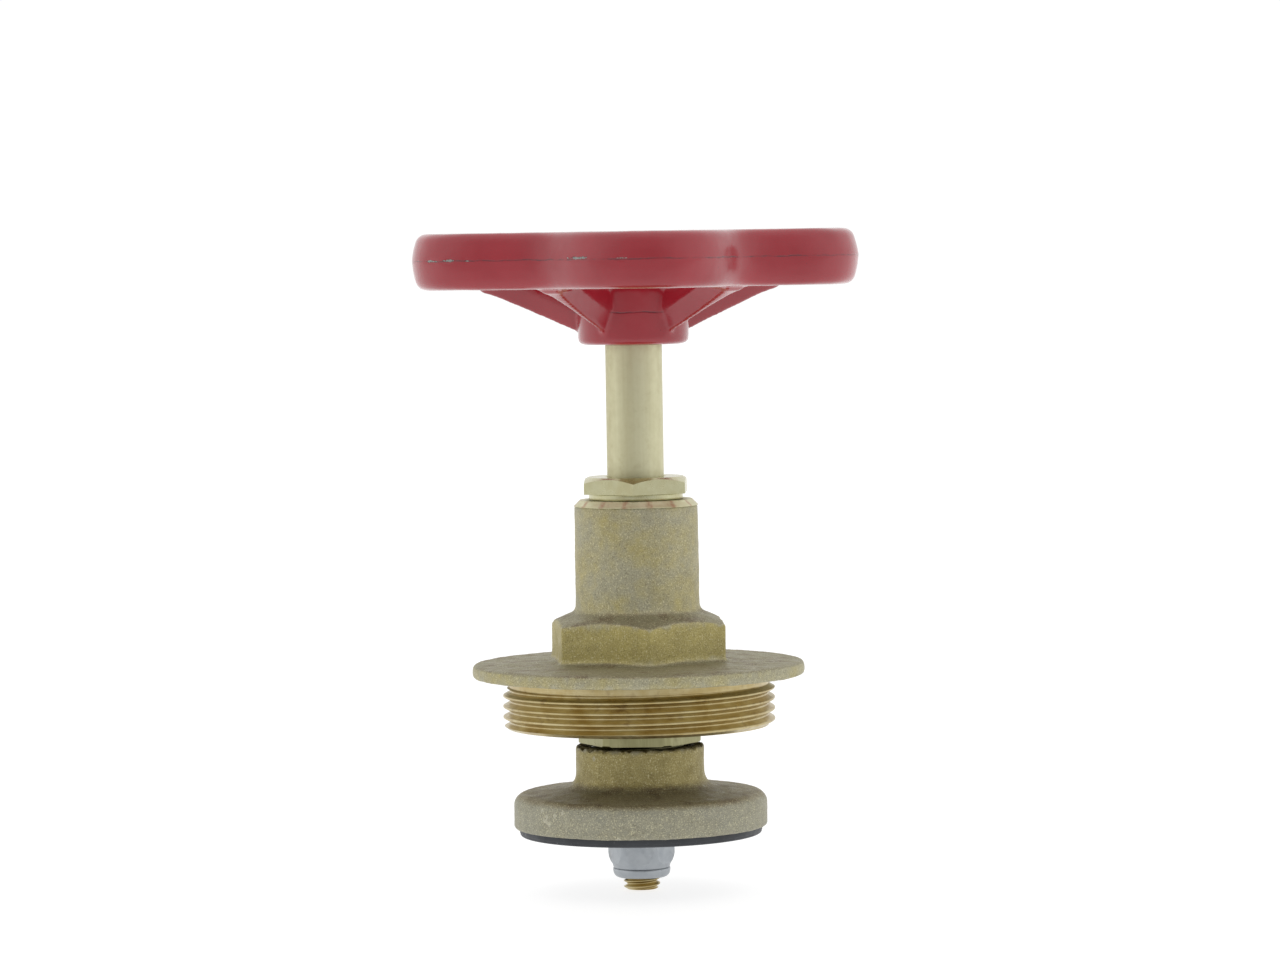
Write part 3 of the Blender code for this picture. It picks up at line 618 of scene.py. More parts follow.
def mouth_brass():
    """The barrel's machined mouth, with faint red marks spaced evenly round the chamfer."""
    material = machined_brass(
        "mouth_brass", (0.60, 0.57, 0.37), (0.68, 0.67, 0.47), (0.38, 0.25, 0.15), 0.42, rings=0.3
    )
    tree = material.node_tree
    shader = tree.nodes["Principled BSDF"]
    place = next(n for n in tree.nodes if n.type == "TEX_COORD").outputs["Object"]
    parts = add(tree, "SeparateXYZ", {"Vector": place})
    angle = sums(tree, "ARCTAN2", parts.outputs["Y"], parts.outputs["X"])
    turns = plus(tree, times(tree, angle, MOUTH_MARKS / math.tau), MOUTH_MARK_TURN)
    off = sums(tree, "ABSOLUTE", sums(tree, "SUBTRACT", sums(tree, "FRACT", turns), 0.5))
    mark = between(tree, off, 0.15, 0.03)
    broken = between(tree, cloud(tree, place, 1.2), 0.35, 0.55)
    mark = times(tree, mark, times(tree, broken, 0.7))
    under = shader.inputs["Base Color"].links[0].from_socket
    wire(tree, shader, mixed(tree, mark, under, (0.40, 0.20, 0.125)))
    return material


def line_at(tree, height, middle, start, end, where):
    """A line at a height in millimetres, which fades in from start to end away from its middle."""
    off = sums(tree, "ABSOLUTE", sums(tree, "SUBTRACT", height, middle * MM))
    return times(tree, between(tree, off, start * MM, end * MM), where)


def parting_lines(tree, place):
    """Where the moulds met, round the rim and round the hub, broken here and there."""
    parts = add(tree, "SeparateXYZ", {"Vector": place})
    sideways = add(tree, "CombineXYZ", {"X": parts.outputs["X"], "Y": parts.outputs["Y"]})
    sideways = sideways.outputs["Vector"]
    radius = add(tree, "VectorMath", {0: sideways}, operation="LENGTH").outputs["Value"]
    wander = between(tree, cloud(tree, place, 4.0, 2.0), 0.3, 0.7, -0.12 * MM, 0.12 * MM)
    height = plus(tree, parts.outputs["Z"], wander)
    near_rim = between(tree, radius, 30.0 * MM, 33.0 * MM)
    near_hub = between(tree, radius, 13.5 * MM, 12.8 * MM)
    rim_line = line_at(tree, height, RIM_PARTING_HEIGHT, 0.22, 0.04, near_rim)
    hub_line = line_at(tree, height, HUB_PARTING_HEIGHT, 0.26, 0.05, near_hub)
    broken = between(tree, cloud(tree, place, 3.0, 3.0, 0.6), 0.34, 0.6, 0.1, 1.0)
    return times(tree, sums(tree, "MAXIMUM", rim_line, hub_line), broken)


def chipped_places(tree, place):
    """Where knocks took the lacquer off, with ragged edges."""
    nearest = None
    for angle, up, length, width in CHIPS:
        middle = on_rim(angle, up, 0.3)
        offset = add(tree, "VectorMath", {0: place, 1: middle}, operation="SUBTRACT").outputs["Vector"]
        size = (2 / (length * MM), 0.25 / MM, 2 / (width * MM))
        scaled = add(tree, "VectorMath", {0: offset, 1: size}, operation="MULTIPLY").outputs["Vector"]
        away = add(tree, "VectorMath", {0: scaled}, operation="LENGTH").outputs["Value"]
        nearest = sums(tree, "MINIMUM", nearest, away) if nearest else away
    ragged = between(tree, cloud(tree, place, 0.7, 4.0, 0.7), 0.3, 0.7, -0.75, 0.75)
    return between(tree, plus(tree, nearest, ragged), 1.0, 0.75)


def red_lacquer():
    """Thick gloss lacquer over a grey casting, with the moulds' parting line and its knocks."""
    material, tree, shader, place = new_finish(
        "red_lacquer", 0.2, 0.0, Coat_Weight=0.4, Coat_Roughness=0.12
    )
    soft = between(tree, cloud(tree, place, 16.0, 3.0), 0.35, 0.65)
    colour = mixed(tree, soft, (0.31, 0.011, 0.021), (0.36, 0.019, 0.031))
    line = parting_lines(tree, place)
    colour = mixed(tree, times(tree, line, 0.75), colour, (0.07, 0.012, 0.02))
    chip = chipped_places(tree, place)
    patches = between(tree, cloud(tree, place, 0.5), 0.35, 0.65)
    metal = mixed(tree, patches, (0.12, 0.12, 0.11), (0.42, 0.43, 0.40))
    colour = mixed(tree, chip, colour, metal)
    speck = between(tree, grains(tree, place, 4.2), 0.045, 0.03, 0.0, 0.35)
    colour = mixed(tree, speck, colour, (0.09, 0.006, 0.01))
    rough = between(tree, cloud(tree, place, 2.4, 5.0, 0.65), 0.3, 0.7, 0.16, 0.27)
    rough = sums(tree, "MAXIMUM", rough, times(tree, chip, 0.55))
    peel = relief(tree, cloud(tree, place, 2.2, 2.0, 0.5), 0.05, 0.35)
    line_bump = relief(tree, line, -0.10, 0.7, peel)
    wire(tree, shader, colour, rough, relief(tree, chip, -0.16, 1.0, line_bump))
    return material


def rubber():
    """Dull black rubber with some dust in its pores."""
    material, tree, shader, place = new_finish("seal_rubber", 0.55, 0.0)
    soft = between(tree, cloud(tree, place, 6.0, 4.0), 0.35, 0.65)
    colour = mixed(tree, soft, (0.021, 0.024, 0.029), (0.036, 0.040, 0.046))
    dust = between(tree, cloud(tree, place, 0.5, 3.0, 0.6), 0.62, 0.78, 0.0, 0.5)
    colour = mixed(tree, dust, colour, (0.16, 0.16, 0.16))
    rough = between(tree, cloud(tree, place, 1.5), 0.3, 0.7, 0.42, 0.62)
    wire(tree, shader, colour, rough, relief(tree, cloud(tree, place, 0.4, 3.0), 0.03, 0.6))
    return material


def zinc_plate(name, dull):
    """Bluish zinc plating over steel, with darker spots."""
    material, tree, shader, place = new_finish(name, dull, 0.9)
    soft = between(tree, cloud(tree, place, 3.5, 3.0, 0.5), 0.3, 0.7)
    colour = mixed(tree, soft, (0.34, 0.365, 0.39), (0.42, 0.445, 0.465))
    dark = between(tree, cloud(tree, place, 1.1, 4.0, 0.7), 0.62, 0.80, 0.0, 0.4)
    colour = mixed(tree, dark, colour, (0.16, 0.17, 0.20))
    rough = between(tree, cloud(tree, place, 0.8, 3.0), 0.3, 0.7, dull * 0.8, dull * 1.3)
    wire(tree, shader, colour, rough, relief(tree, cloud(tree, place, 0.35, 3.0), 0.02, 0.6))
    return material


def nylon():
    """The lock nut's pale insert."""
    material, tree, shader, place = new_finish("insert_nylon", 0.42, 0.0)
    soft = between(tree, cloud(tree, place, 1.5), 0.3, 0.7)
    colour = mixed(tree, soft, (0.50, 0.52, 0.53), (0.62, 0.63, 0.62))
    rough = between(tree, cloud(tree, place, 0.6), 0.3, 0.7, 0.34, 0.5)
    wire(tree, shader, colour, rough, relief(tree, cloud(tree, place, 0.3), 0.02, 0.5))
    return material


def graphite():
    """Plaited graphite packing."""
    material, tree, shader, place = new_finish("graphite_packing", 0.6, 0.2)
    plait = add(
        tree,
        "TexWave",
        {"Vector": place, "Scale": 420.0, "Distortion": 2.5, "Detail": 2.0},
        bands_direction="DIAGONAL",
    ).outputs["Fac"]
    colour = mixed(tree, plait, (0.022, 0.022, 0.024), (0.075, 0.075, 0.08))
    rough = between(tree, plait, 0.0, 1.0, 0.72, 0.5)
    wire(tree, shader, colour, rough, relief(tree, plait, 0.12, 0.8))
    return material


def floor_paper():
    """White paper that glows less towards the camera."""
    material, tree, shader, place = new_finish("floor_paper", 0.7, 0.0)
    soft = between(tree, cloud(tree, place, 400.0, 2.0), 0.3, 0.7)
    colour = mixed(tree, soft, (0.24, 0.24, 0.24), (0.26, 0.26, 0.26))
    forward = add(tree, "SeparateXYZ", {"Vector": place}).outputs["Y"]
    start, end = FLOOR_FADE
    glow = between(tree, forward, start * MM, end * MM, FLOOR_GLOW, FLOOR_FRONT_GLOW)
    shader.inputs["Emission Color"].default_value = (1.0, 1.0, 1.0, 1.0)
    tree.links.new(glow, shader.inputs["Emission Strength"])
    wire(tree, shader, colour)
    return material


# The bonnet and its gland nut


def make_bonnet_casting():
    """Flange, hexagon, barrel and skirt in one sand casting, with its hollow."""
    edge, fillet = 0.8, 1.6
    crown = FLANGE_TOP + FLANGE_CROWN
    points = [(0, BARREL_TOP - 0.9), (BARREL_RADIUS - 0.35, BARREL_TOP - 0.9)]
    points += [(BARREL_RADIUS - 0.35, BARREL_TOP - 1.3), (BARREL_RADIUS - 0.05, BARREL_TOP - 1.45)]
    points += arc(BARREL_RADIUS + 0.05 + fillet, BONNET_HEX_TOP + fillet * 0.62, fillet, 180, 247)
    points += [(BARREL_RADIUS + fillet, crown + 0.6)]
    points += [(BONNET_FLATS / 2 - 0.5, crown + 0.6), (BONNET_FLATS / 2 + 2.5, crown)]
    points += arc(FLANGE_RADIUS - edge, FLANGE_TOP - edge, edge, 90, 0)
    points += arc(FLANGE_RADIUS - 0.35, 0.35, 0.35, 0, -90, 3)
    points += [(SKIRT_OUTSIDE, 0), (SKIRT_OUTSIDE, SKIRT_END + 0.1), (0, SKIRT_END + 0.1)]
    casting = turned("bonnet_casting", points, FINE_STEPS)
    nut = hexagon("bonnet_hexagon", BONNET_FLATS, 1, BARREL_TOP / 2, BONNET_HEX_TURN, 0.7)
    cone = cone_end(22, BARREL_RADIUS, BONNET_HEX_SLOPE, BONNET_HEX_TOP, 0.5)
    keep_inside(nut, turned("hexagon_cone", cone))
    join(casting, nut)
    boss = BONNET_BORE + 3.2
    boss_end = level("disc_retaining_nut", 1) + 1.0
    hollow = [(0, BARREL_TOP), (BOX_RADIUS, BARREL_TOP), (BOX_RADIUS, BOX_FLOOR)]
    hollow += [(BONNET_BORE, BOX_FLOOR), (BONNET_BORE, boss_end), (boss, boss_end)]
    hollow += arc(boss + 1.6, -1.2 - 1.6, 1.6, 180, 90, 4)
    hollow += [(boss + 3.2, -1.2), (SKIRT_INSIDE, -5.5), (SKIRT_INSIDE, SKIRT_END - 1)]
    hollow += [(0, SKIRT_END - 1)]
    cut(casting, turned("bonnet_hollow", hollow))
    even_out(casting, CAST_VOXEL, 4)
    roughen(casting, 5.0, 0.22, "bonnet_waves")
    roughen(casting, 0.9, 0.10, "bonnet_sand")
    return casting


def make_mouth():
    """The machined mouth of the barrel: chamfer, end face and the top of the box's bore."""
    side = BARREL_RADIUS + 0.02
    top = BARREL_TOP
    points = [(MOUTH_RADIUS, top), (side - 0.06, top - MOUTH_CHAMFER + 0.05)]
    points += [(side, top - MOUTH_CHAMFER), (side, top - MOUTH_CHAMFER - 0.12)]
    points += [(side - 0.5, top - MOUTH_CHAMFER - 0.2), (BOX_RADIUS + 1, top - 3)]
    points += [(BOX_RADIUS - 0.05, top - 3), (BOX_RADIUS - 0.05, top - 0.5)]
    points += [(BOX_RADIUS + 0.4, top), (MOUTH_RADIUS, top)]
    return turned("barrel_mouth", points, FINE_STEPS)


def make_body_thread():
    """The skirt's machined sleeve, threaded to screw into the valve's body."""
    crest = BODY_THREAD["radius"] + 0.1
    root = BODY_THREAD["radius"] - BODY_THREAD["depth"]
    sleeve = threaded_rod("body_thread", BODY_THREAD, SKIRT_END - 1, 1, BODY_THREAD_START, FINE_STEPS)
    envelope = [(0, 0.3), (root + 0.05, 0.3), (root + 0.05, -2.05)]
    envelope += [(crest, -2.9), (crest, SKIRT_END + 0.8), (root + 0.5, SKIRT_END), (0, SKIRT_END)]
    keep_inside(sleeve, turned("thread_envelope", envelope, FINE_STEPS))
    band = [(0, 0.35), (root + 0.15, 0.35), (root + 0.15, -1.9), (root - 0.3, -2.2), (0, -2.2)]
    join(sleeve, turned("thread_relief", band, FINE_STEPS))
    bore = SKIRT_INSIDE + 0.45
    hole = [(0, 2), (bore, 2), (bore, SKIRT_END + 0.3), (bore + 0.3, SKIRT_END - 1)]
    return cut(sleeve, turned("thread_bore", [*hole, (0, SKIRT_END - 1)]))


def make_gland_nut():
    """Hexagon on a round collar, over a threaded sleeve that presses on the packing."""
    bottom, top = span("gland_nut")
    hex_bottom, collar = top - GLAND_HEX_HEIGHT, BARREL_TOP + SNUG
    nut = hexagon("gland_nut_piece", GLAND_FLATS, hex_bottom, top, GLAND_TURN, 0.15)
    ends = cone_end(13, 10.4, math.radians(28), top, hex_bottom - 1)
    keep_inside(nut, turned("gland_cone", ends))
    edge = 0.2
    side = GLAND_COLLAR - edge
    foot = [(0, hex_bottom + 1), (side, hex_bottom + 1), (side, hex_bottom)]
    foot += arc(side, hex_bottom - edge, edge, 90, 0, 3)
    foot += arc(side, collar + edge, edge, 0, -90, 3)
    foot += [(8.6, collar), (8.6, collar - 1), (0, collar - 1)]
    join(nut, turned("gland_foot", foot))
    join(nut, threaded_rod("gland_screw", GLAND_THREAD, bottom, collar + 0.5, 0.0, SMALL_STEPS))
    bore = STEM_RADIUS + GAP
    hole = [(0, top + 1), (7.3, top + 1), (bore, top - 0.4), (bore, bottom - 1), (0, bottom - 1)]
    return cut(nut, turned("gland_hole", hole))


# The spindle and what turns with it


def make_spindle():
    """Foot, neck, screw, polished stem, square and threaded end."""
    bottom, top = span("spindle")
    foot, neck, shoulder = reach("spindle"), 6.6, HUB_BOTTOM - SNUG
    screw_end, screw_top = STEM_SCREW_END, BOX_FLOOR - GAP
    core, crest = 5.2, STEM_THREAD["radius"] + 0.1
    points = [(0, shoulder + 1), (4.4, shoulder + 1), (4.4, shoulder)]
    points += [(STEM_RADIUS - 0.1, shoulder), (STEM_RADIUS, shoulder - 0.1)]
    points += [(STEM_RADIUS, screw_top - 0.3), (core, screw_top - 1.3), (core, screw_end + 1.6)]
    points += [(neck, screw_end + 0.2), (neck, bottom + 3.9), (neck + 0.4, bottom + 3.5)]
    points += arc(foot - 0.3, bottom + 3.2, 0.3, 90, 0, 3)
    points += arc(foot - 0.5, bottom + 0.5, 0.5, 0, -90, 3)
    points += [(0, bottom)]
    spindle = turned("spindle_piece", points)
    screw = threaded_rod("spindle_screw", STEM_THREAD, screw_end - 1, screw_top + 1)
    ends = [(0, screw_top), (5.7, screw_top), (crest, screw_top - 0.9), (crest, screw_end + 0.5)]
    keep_inside(screw, turned("screw_ends", [*ends, (6.55, screw_end), (0, screw_end)]))
    join(spindle, screw)

    square = square_bar("spindle_square", STEM_SQUARE, shoulder - 1, HUB_TOP - 0.6)
    open_up(square)
    bpy.ops.mesh.bevel(offset=0.5 * MM, segments=2)
    shut()
    join(spindle, square)
    end = threaded_rod("spindle_end", END_THREAD, HUB_TOP - 2.5, top + 1, 0.0, SMALL_STEPS)
    tip = [(0, top), (3.2, top), (4.1, top - 0.8), (4.1, HUB_TOP - 1.5), (0, HUB_TOP - 1.5)]
    keep_inside(end, turned("end_tip", tip))
    return join(spindle, end)


def rim_radius(around, outer):
    """The rim's outer or inner outline at an angle from +X: five lobes, full between."""
    lobe, valley, full = RIM_OUTSIDE if outer else RIM_INSIDE
    turn = LOBES * (around - FIRST_LOBE)
    middle, swing = (lobe + valley) / 2, (lobe - valley) / 2
    return middle + full + swing * math.cos(turn) - full * math.cos(2 * turn)


def on_rim(angle, height, depth=0.0):
    """A point on the rim's outside, or a depth under it, at an angle in degrees from the front."""
    around = math.radians(angle - 90)
    far = rim_radius(around, True) - depth
    return Vector((far * math.cos(around), far * math.sin(around), height)) * MM


def make_rim():
    """The lobed ring: its section drafts away from the parting line, with round edges."""
    middle, half = 40.0, 6.0
    base, parting = RIM_BASE, RIM_PARTING_HEIGHT
    top = RIM_TOP - 0.05
    side = [(half, parting), (half - 0.32, parting + 2.0), (half - 0.85, top - 2.0)]
    side += arc(half - 3.3, top - 2.5, 2.5, 20, 90, 5)
    below = [(half - 0.28, parting - 2.2), (half - 0.75, base + 1.9)]
    below += arc(half - 3.2, base + 2.5, 2.5, -15, -90, 5)
    outer = [*reversed(below), *side]
    inner = [(-u, z) for u, z in reversed(outer)]
    points = [(middle + u, z) for u, z in [*outer, *inner, outer[0]]]
    rim = turned("handwheel_rim", points, RIM_STEPS)
    for vertex in rim.data.vertices:
        around = math.atan2(vertex.co.y, vertex.co.x)
        share = (math.hypot(vertex.co.x, vertex.co.y) / MM - middle) / half
        far, near = rim_radius(around, True), rim_radius(around, False)
        new = (far + near) / 2 + share * (far - near) / 2
        vertex.co.x, vertex.co.y = new * MM * math.cos(around), new * MM * math.sin(around)
    return close_up(rim)


def spoke_section(along):
    """Heights of its bottom and top, and half its width below, at the parting line and above."""
    share = (along - HUB_RADIUS) / (SPOKE_PLACES[-1] - HUB_RADIUS)
    swell = min(max(share, 0), 1) ** 3
    bottom = HUB_BOTTOM + 2.6 + (along - HUB_RADIUS) * math.tan(SPOKE_SLOPE)
    bottom -= max(along - SPOKE_DIP_START, 0) ** 2 * SPOKE_DIP
    low, wide, high = 0.5 + 1.6 * swell, 2.3 + 2.8 * swell, 1.9 + 3.2 * swell
    top = min(bottom + 9.4, RIM_TOP - 3.5)
    return bottom, top, low, wide, high


def make_spoke(number):
    """A bar of six-sided section, extruded outwards step by step and flared into the rim."""
    turn = FIRST_LOBE + (number + 0.5) * math.tau / LOBES
    put_down()
    bpy.ops.mesh.primitive_circle_add(vertices=6, radius=MM, fill_type="NGON")
    spoke = bpy.context.object
    spoke.name = f"spoke_{number}"
    open_up(spoke)
    for step, along in enumerate(SPOKE_PLACES):
        if step:
            bpy.ops.mesh.extrude_region_move(TRANSFORM_OT_translate={"value": (0, 0, MM)})
        shape = bmesh.from_edit_mesh(spoke.data)
        corners = [v for v in shape.verts if v.select]
        centre = sum((v.co for v in corners), Vector()) / 6
        if step:
            corners.sort(key=lambda v: math.atan2(v.co.z - centre.z, v.co.y - centre.y))
        else:  # the first section still lies flat
            corners.sort(key=lambda v: math.atan2(v.co.y, v.co.x))
        bottom, top, low, wide, high = spoke_section(along)
        seam = bottom + 4.5
        places = [(-wide, seam), (-low, bottom), (low, bottom), (wide, seam), (high, top), (-high, top)]
        middle = (bottom + top) / 2
        places.sort(key=lambda p: math.atan2(p[1] - middle, p[0]))
        for corner, (across, height) in zip(corners, places):
            corner.co = Vector((along, across, height)) * MM
        bmesh.update_edit_mesh(spoke.data)
    shut()
    spoke.rotation_euler.z = turn
    settle(spoke)
    return close_up(spoke)


def make_handwheel():
    """Hub, spokes and rim in one casting, with a square hole and the knocks it has had."""
    edge = 1.3
    points = [(0, HUB_TOP), (8.9, HUB_TOP), (9.3, HUB_TOP - 0.1)]
    points += arc(HUB_RADIUS - edge, HUB_TOP - edge, edge, 90, 0)
    points += [(HUB_RADIUS + 0.05, HUB_BOTTOM + 7.1)]
    points += arc(HUB_RADIUS - edge, HUB_BOTTOM + edge, edge, 0, -90)
    points += [(0, HUB_BOTTOM)]
    wheel = turned("handwheel_casting", points)
    for number in range(LOBES):
        join(wheel, make_spoke(number))
    join(wheel, make_rim())
    middle = (HUB_TOP + HUB_BOTTOM) / 2
    cut(wheel, square_bar("hub_hole", HUB_SQUARE, middle - 10, middle + 10))
    even_out(wheel, CAST_VOXEL, 6)
    roughen(wheel, 7.0, 0.18, "wheel_waves")
    for angle, up, length, width in CHIPS:
        knock(wheel, angle, up, length, width)
    return wheel


def knock(wheel, angle, up, length, width):
    """Presses a shallow dent into the rim at an angle from the front."""
    around = math.radians(angle - 90)
    middle = on_rim(angle, up)
    inward = Vector((-math.cos(around), -math.sin(around), 0))
    for vertex in wheel.data.vertices:
        offset = vertex.co - middle
        along = offset.x / (length / 2 * MM)
        across = offset.z / (max(width, KNOCK_WIDTH) * MM)
        if abs(offset.y) < 4 * MM and along**2 + across**2 < 1:
            vertex.co += inward * KNOCK_DEPTH * MM * (1 - along**2 - across**2)


def make_wheel_nut():
    """A hexagon nut with bevelled ends and a plain hole."""
    bottom, top = span("wheel_nut")
    flats, bore = WHEEL_NUT_FLATS, WHEEL_NUT_BORE
    nut = hexagon("wheel_nut_piece", flats, bottom, top, WHEEL_NUT_TURN)
    for end, face, far in (("top", top, bottom - 1), ("foot", bottom, top + 1)):
        cone = cone_end(flats * 0.62, flats / 2 - 0.3, math.radians(30), face, far)
        keep_inside(nut, turned(f"wheel_nut_{end}", cone))
    hole = [(0, top + 1), (bore + 1.4, top + 1), (bore, top - 0.4), (bore, bottom + 0.4)]
    hole += [(bore + 1.4, bottom - 1), (0, bottom - 1)]
    return cut(nut, turned("wheel_nut_hole", hole, SMALL_STEPS))


def make_spring_washer():
    """One turn of square wire, sprung open a little where its ends pass each other."""
    bottom, top = span("wheel_spring_washer")
    outer, high = reach("wheel_spring_washer") + 0.03, 1.45
    rise = (top - bottom - high) / SPRING_STEPS * MM
    spring = outline("spring_washer", ring_section(outer, BOLT_BORE, bottom, bottom + high, 0.15, 2))
    close_up(spring)
    open_up(spring)
    bpy.ops.mesh.edge_face_add()
    shut()
    spring.rotation_euler.z = math.radians(6)
    open_up(settle(spring))
    for _ in range(SPRING_STEPS):
        bpy.ops.mesh.extrude_region_move(TRANSFORM_OT_translate={"value": (0, 0, rise)})
        bpy.ops.transform.rotate(
            value=-SPRING_TURN / SPRING_STEPS, orient_axis="Z", center_override=(0, 0, 0)
        )
    shut()
    return close_up(spring)


# The disc


def make_disc_casting():
    """Neck and disc in one casting, hollow for the stem's foot, with a lip round the seal."""
    fillet, shoulder = 3.3, 2.6
    points = [(0, NECK_TOP), (NECK_RADIUS - 0.2, NECK_TOP), (NECK_RADIUS, NECK_TOP - 0.5)]
    points += arc(NECK_RADIUS + fillet, NECK_FOOT + fillet, fillet, 180, 262, 6)
    points += [(DISC_RADIUS - shoulder - 2.5, DISC_SHOULDER_TOP + 0.1)]
    points += arc(DISC_RADIUS - shoulder, DISC_SHOULDER_TOP - shoulder, shoulder, 84, 0, 6)
    points += arc(DISC_RADIUS - 0.3, DISC_BOTTOM + 0.3, 0.3, 0, -90, 3)
    inside, ceiling = DISC_RADIUS - SEAL_LIP, DISC_BOTTOM + SEAL_RECESS
    points += [(inside, DISC_BOTTOM), (inside, ceiling), (0, ceiling)]
    casting = turned("disc_casting", points, FINE_STEPS)
    floor = level("thrust_plate", 0) - GAP
    bore = [(0, NECK_TOP + 1), (NECK_BORE, NECK_TOP + 1), (NECK_BORE, floor), (0, floor)]
    cut(casting, turned("neck_bore", bore))
    even_out(casting, DISC_VOXEL, 4)
    for vertex in casting.data.vertices:
        drop = vertex.co.z / MM - (NECK_TOP - 1.1)
        far = math.hypot(vertex.co.x, vertex.co.y) / MM
        if drop > 0 and far > NECK_BORE + 0.5:
            bite = noise.noise(vertex.co / (1.7 * MM)) + 0.6 * noise.noise(vertex.co / (0.8 * MM))
            vertex.co.z -= MM * 0.75 * max(bite + 0.12, 0) * drop
    roughen(casting, 4.5, 0.20, "disc_waves")
    roughen(casting, 0.9, 0.09, "disc_sand")
    return casting


def make_spigot():
    """The threaded stud under the disc that carries the seal, its washer and the lock nut."""
    bottom = level("disc_holder", 0)
    stud = threaded_rod("disc_spigot", END_THREAD, bottom - 1, DISC_BOTTOM + 4, 0.4)
    tip = [(0, DISC_BOTTOM + 3), (4.1, DISC_BOTTOM + 3), (4.1, bottom + 0.6), (3.3, bottom)]
    tip += [(0, bottom)]
    return keep_inside(stud, turned("spigot_tip", tip))


def make_disc_nut():
    """Hexagon with turned corners, whose screw closes the neck over the stem's foot."""
    bottom, top = span("disc_retaining_nut")
    hex_bottom = NECK_TOP + 0.5
    corner = reach("disc_retaining_nut")
    nut = hexagon("retaining_nut", DISC_NUT_FLATS, hex_bottom, top, DISC_NUT_TURN, 0.05)
    barrel = [(0, top), (corner - 0.9, top), (corner, top - 0.5), (corner, hex_bottom + 0.25)]
    barrel += [(corner - 0.25, hex_bottom - 0.05), (0, hex_bottom - 0.05)]
    keep_inside(nut, turned("retaining_barrel", barrel, FINE_STEPS))
    screw_top = hex_bottom + 0.5
    join(nut, threaded_rod("retaining_screw", DISC_NUT_THREAD, bottom, screw_top, 0.0, SMALL_STEPS))
    hole = [(0, top + 1), (8.2, top + 1), (7.3, top - 0.5), (7.3, bottom - 1), (0, bottom - 1)]
    return cut(nut, turned("retaining_hole", hole))


def make_seal():
    """The moulded rubber washer, with a small step where its mould parted."""
    bottom, top = span("seal_disc")
    far, bore = reach("seal_disc"), BOLT_BORE
    points = [(bore + 0.3, top), (far - 0.2, top), (far, top - 0.2), (far, bottom + 0.75)]
    points += [(far - 0.12, bottom + 0.6)]
    points += arc(far - 0.55, bottom + 0.45, 0.45, 0, -90, 4)
    points += [(20.2, bottom), (19.9, bottom + 0.2), (12.4, bottom + 0.2), (12.1, bottom)]
    points += [(bore + 0.3, bottom), (bore, bottom + 0.3), (bore, top - 0.3), (bore + 0.3, top)]
    return turned("seal", points, FINE_STEPS)


def make_lock_nut():
    """Hexagon whose corners are domed towards a rolled collar."""
    bottom, top = span("lock_nut")
    hex_bottom = top - LOCK_NUT_HEX_HEIGHT
    corner, collar = reach("lock_nut") + 0.1, LOCK_NUT_COLLAR
    nut = hexagon("lock_nut_piece", LOCK_NUT_FLATS, hex_bottom - 0.4, top, LOCK_NUT_TURN, 0.25)
    dome = [(0, top), (6.6, top), (corner, top - 0.5), (corner, top - 2.6)]
    dome += [(corner - 0.12, top - 3.4), (corner - 0.45, top - 4.3), (corner - 0.95, top - 5.1)]
    dome += [(collar - 0.1, hex_bottom), (collar - 0.4, hex_bottom - 0.5), (0, hex_bottom - 0.5)]
    keep_inside(nut, turned("lock_nut_dome", dome))
    foot = [(0, hex_bottom + 0.3), (collar - 0.35, hex_bottom + 0.3), (collar - 0.3, hex_bottom)]
    foot += arc(collar - 0.15, hex_bottom - 0.35, 0.15, 90, 0, 2)
    foot += [(collar, hex_bottom - 0.75)]
    foot += arc(collar - 1.5, bottom + 1.45, 1.45, -5, -90, 5)
    foot += [(0, bottom)]
    join(nut, turned("lock_nut_collar", foot))
    hole = [(0, top + 1), (4.9, top + 1), (4.3, top - 0.4), (4.3, bottom + 2.7)]
    hole += [(5.4, bottom + 2.7), (5.4, bottom + 0.4), (4.7, bottom + 0.4)]
    hole += [(4.7, bottom - 1), (0, bottom - 1)]
    return cut(nut, turned("lock_nut_hole", hole, 96))


# Stage


def make_stage():
    """A floor just under the part."""
    put_down()
    bpy.ops.mesh.primitive_plane_add(size=FLOOR_SIZE, location=(0, 0, cad_box[0].z - GAP * MM))
    floor = bpy.context.object
    floor.name = "floor"
    floor.data.materials.append(floor_paper())
    settle(floor)


def make_lighting():
    """An even white world, dimmer behind the camera."""
    scene = bpy.context.scene
    scene.view_settings.view_transform = "Standard"
    world = bpy.data.worlds.new("studio")
    world.use_nodes = True
    scene.world = world
    tree = world.node_tree
    backdrop = tree.nodes["Background"]
    way = add(tree, "TexCoord").outputs["Generated"]
    sides = add(tree, "SeparateXYZ", {"Vector": way})
    front = between(tree, sides.outputs["Y"], *WORLD_FADE)
    shade = between(tree, front, 0.0, 1.0, WORLD_LIGHT, WORLD_FRONT_LIGHT)
    tree.links.new(shade, backdrop.inputs["Strength"])
    backdrop.inputs["Color"].default_value = (1.0, 1.0, 1.0, 1.0)


def make_camera():
    """A long lens on the front, tilted down a little."""
    camera = bpy.data.objects.new("camera", bpy.data.cameras.new("camera"))
    bpy.context.scene.collection.objects.link(camera)
    camera.data.lens = CAMERA_LENS
    camera.data.sensor_width = 36.0
    camera.data.clip_start = 0.01
    camera.data.clip_end = 50.0
    place = Matrix.Translation(Vector((CAMERA_SIDE, -CAMERA_DISTANCE, CAMERA_HEIGHT)) * MM)
    tilt = Matrix.Rotation(math.pi / 2 - CAMERA_DIP, 4, "X")
    camera.matrix_world = place @ tilt @ Matrix.Rotation(CAMERA_ROLL, 4, "Z")
    bpy.context.scene.camera = camera


# Assembly


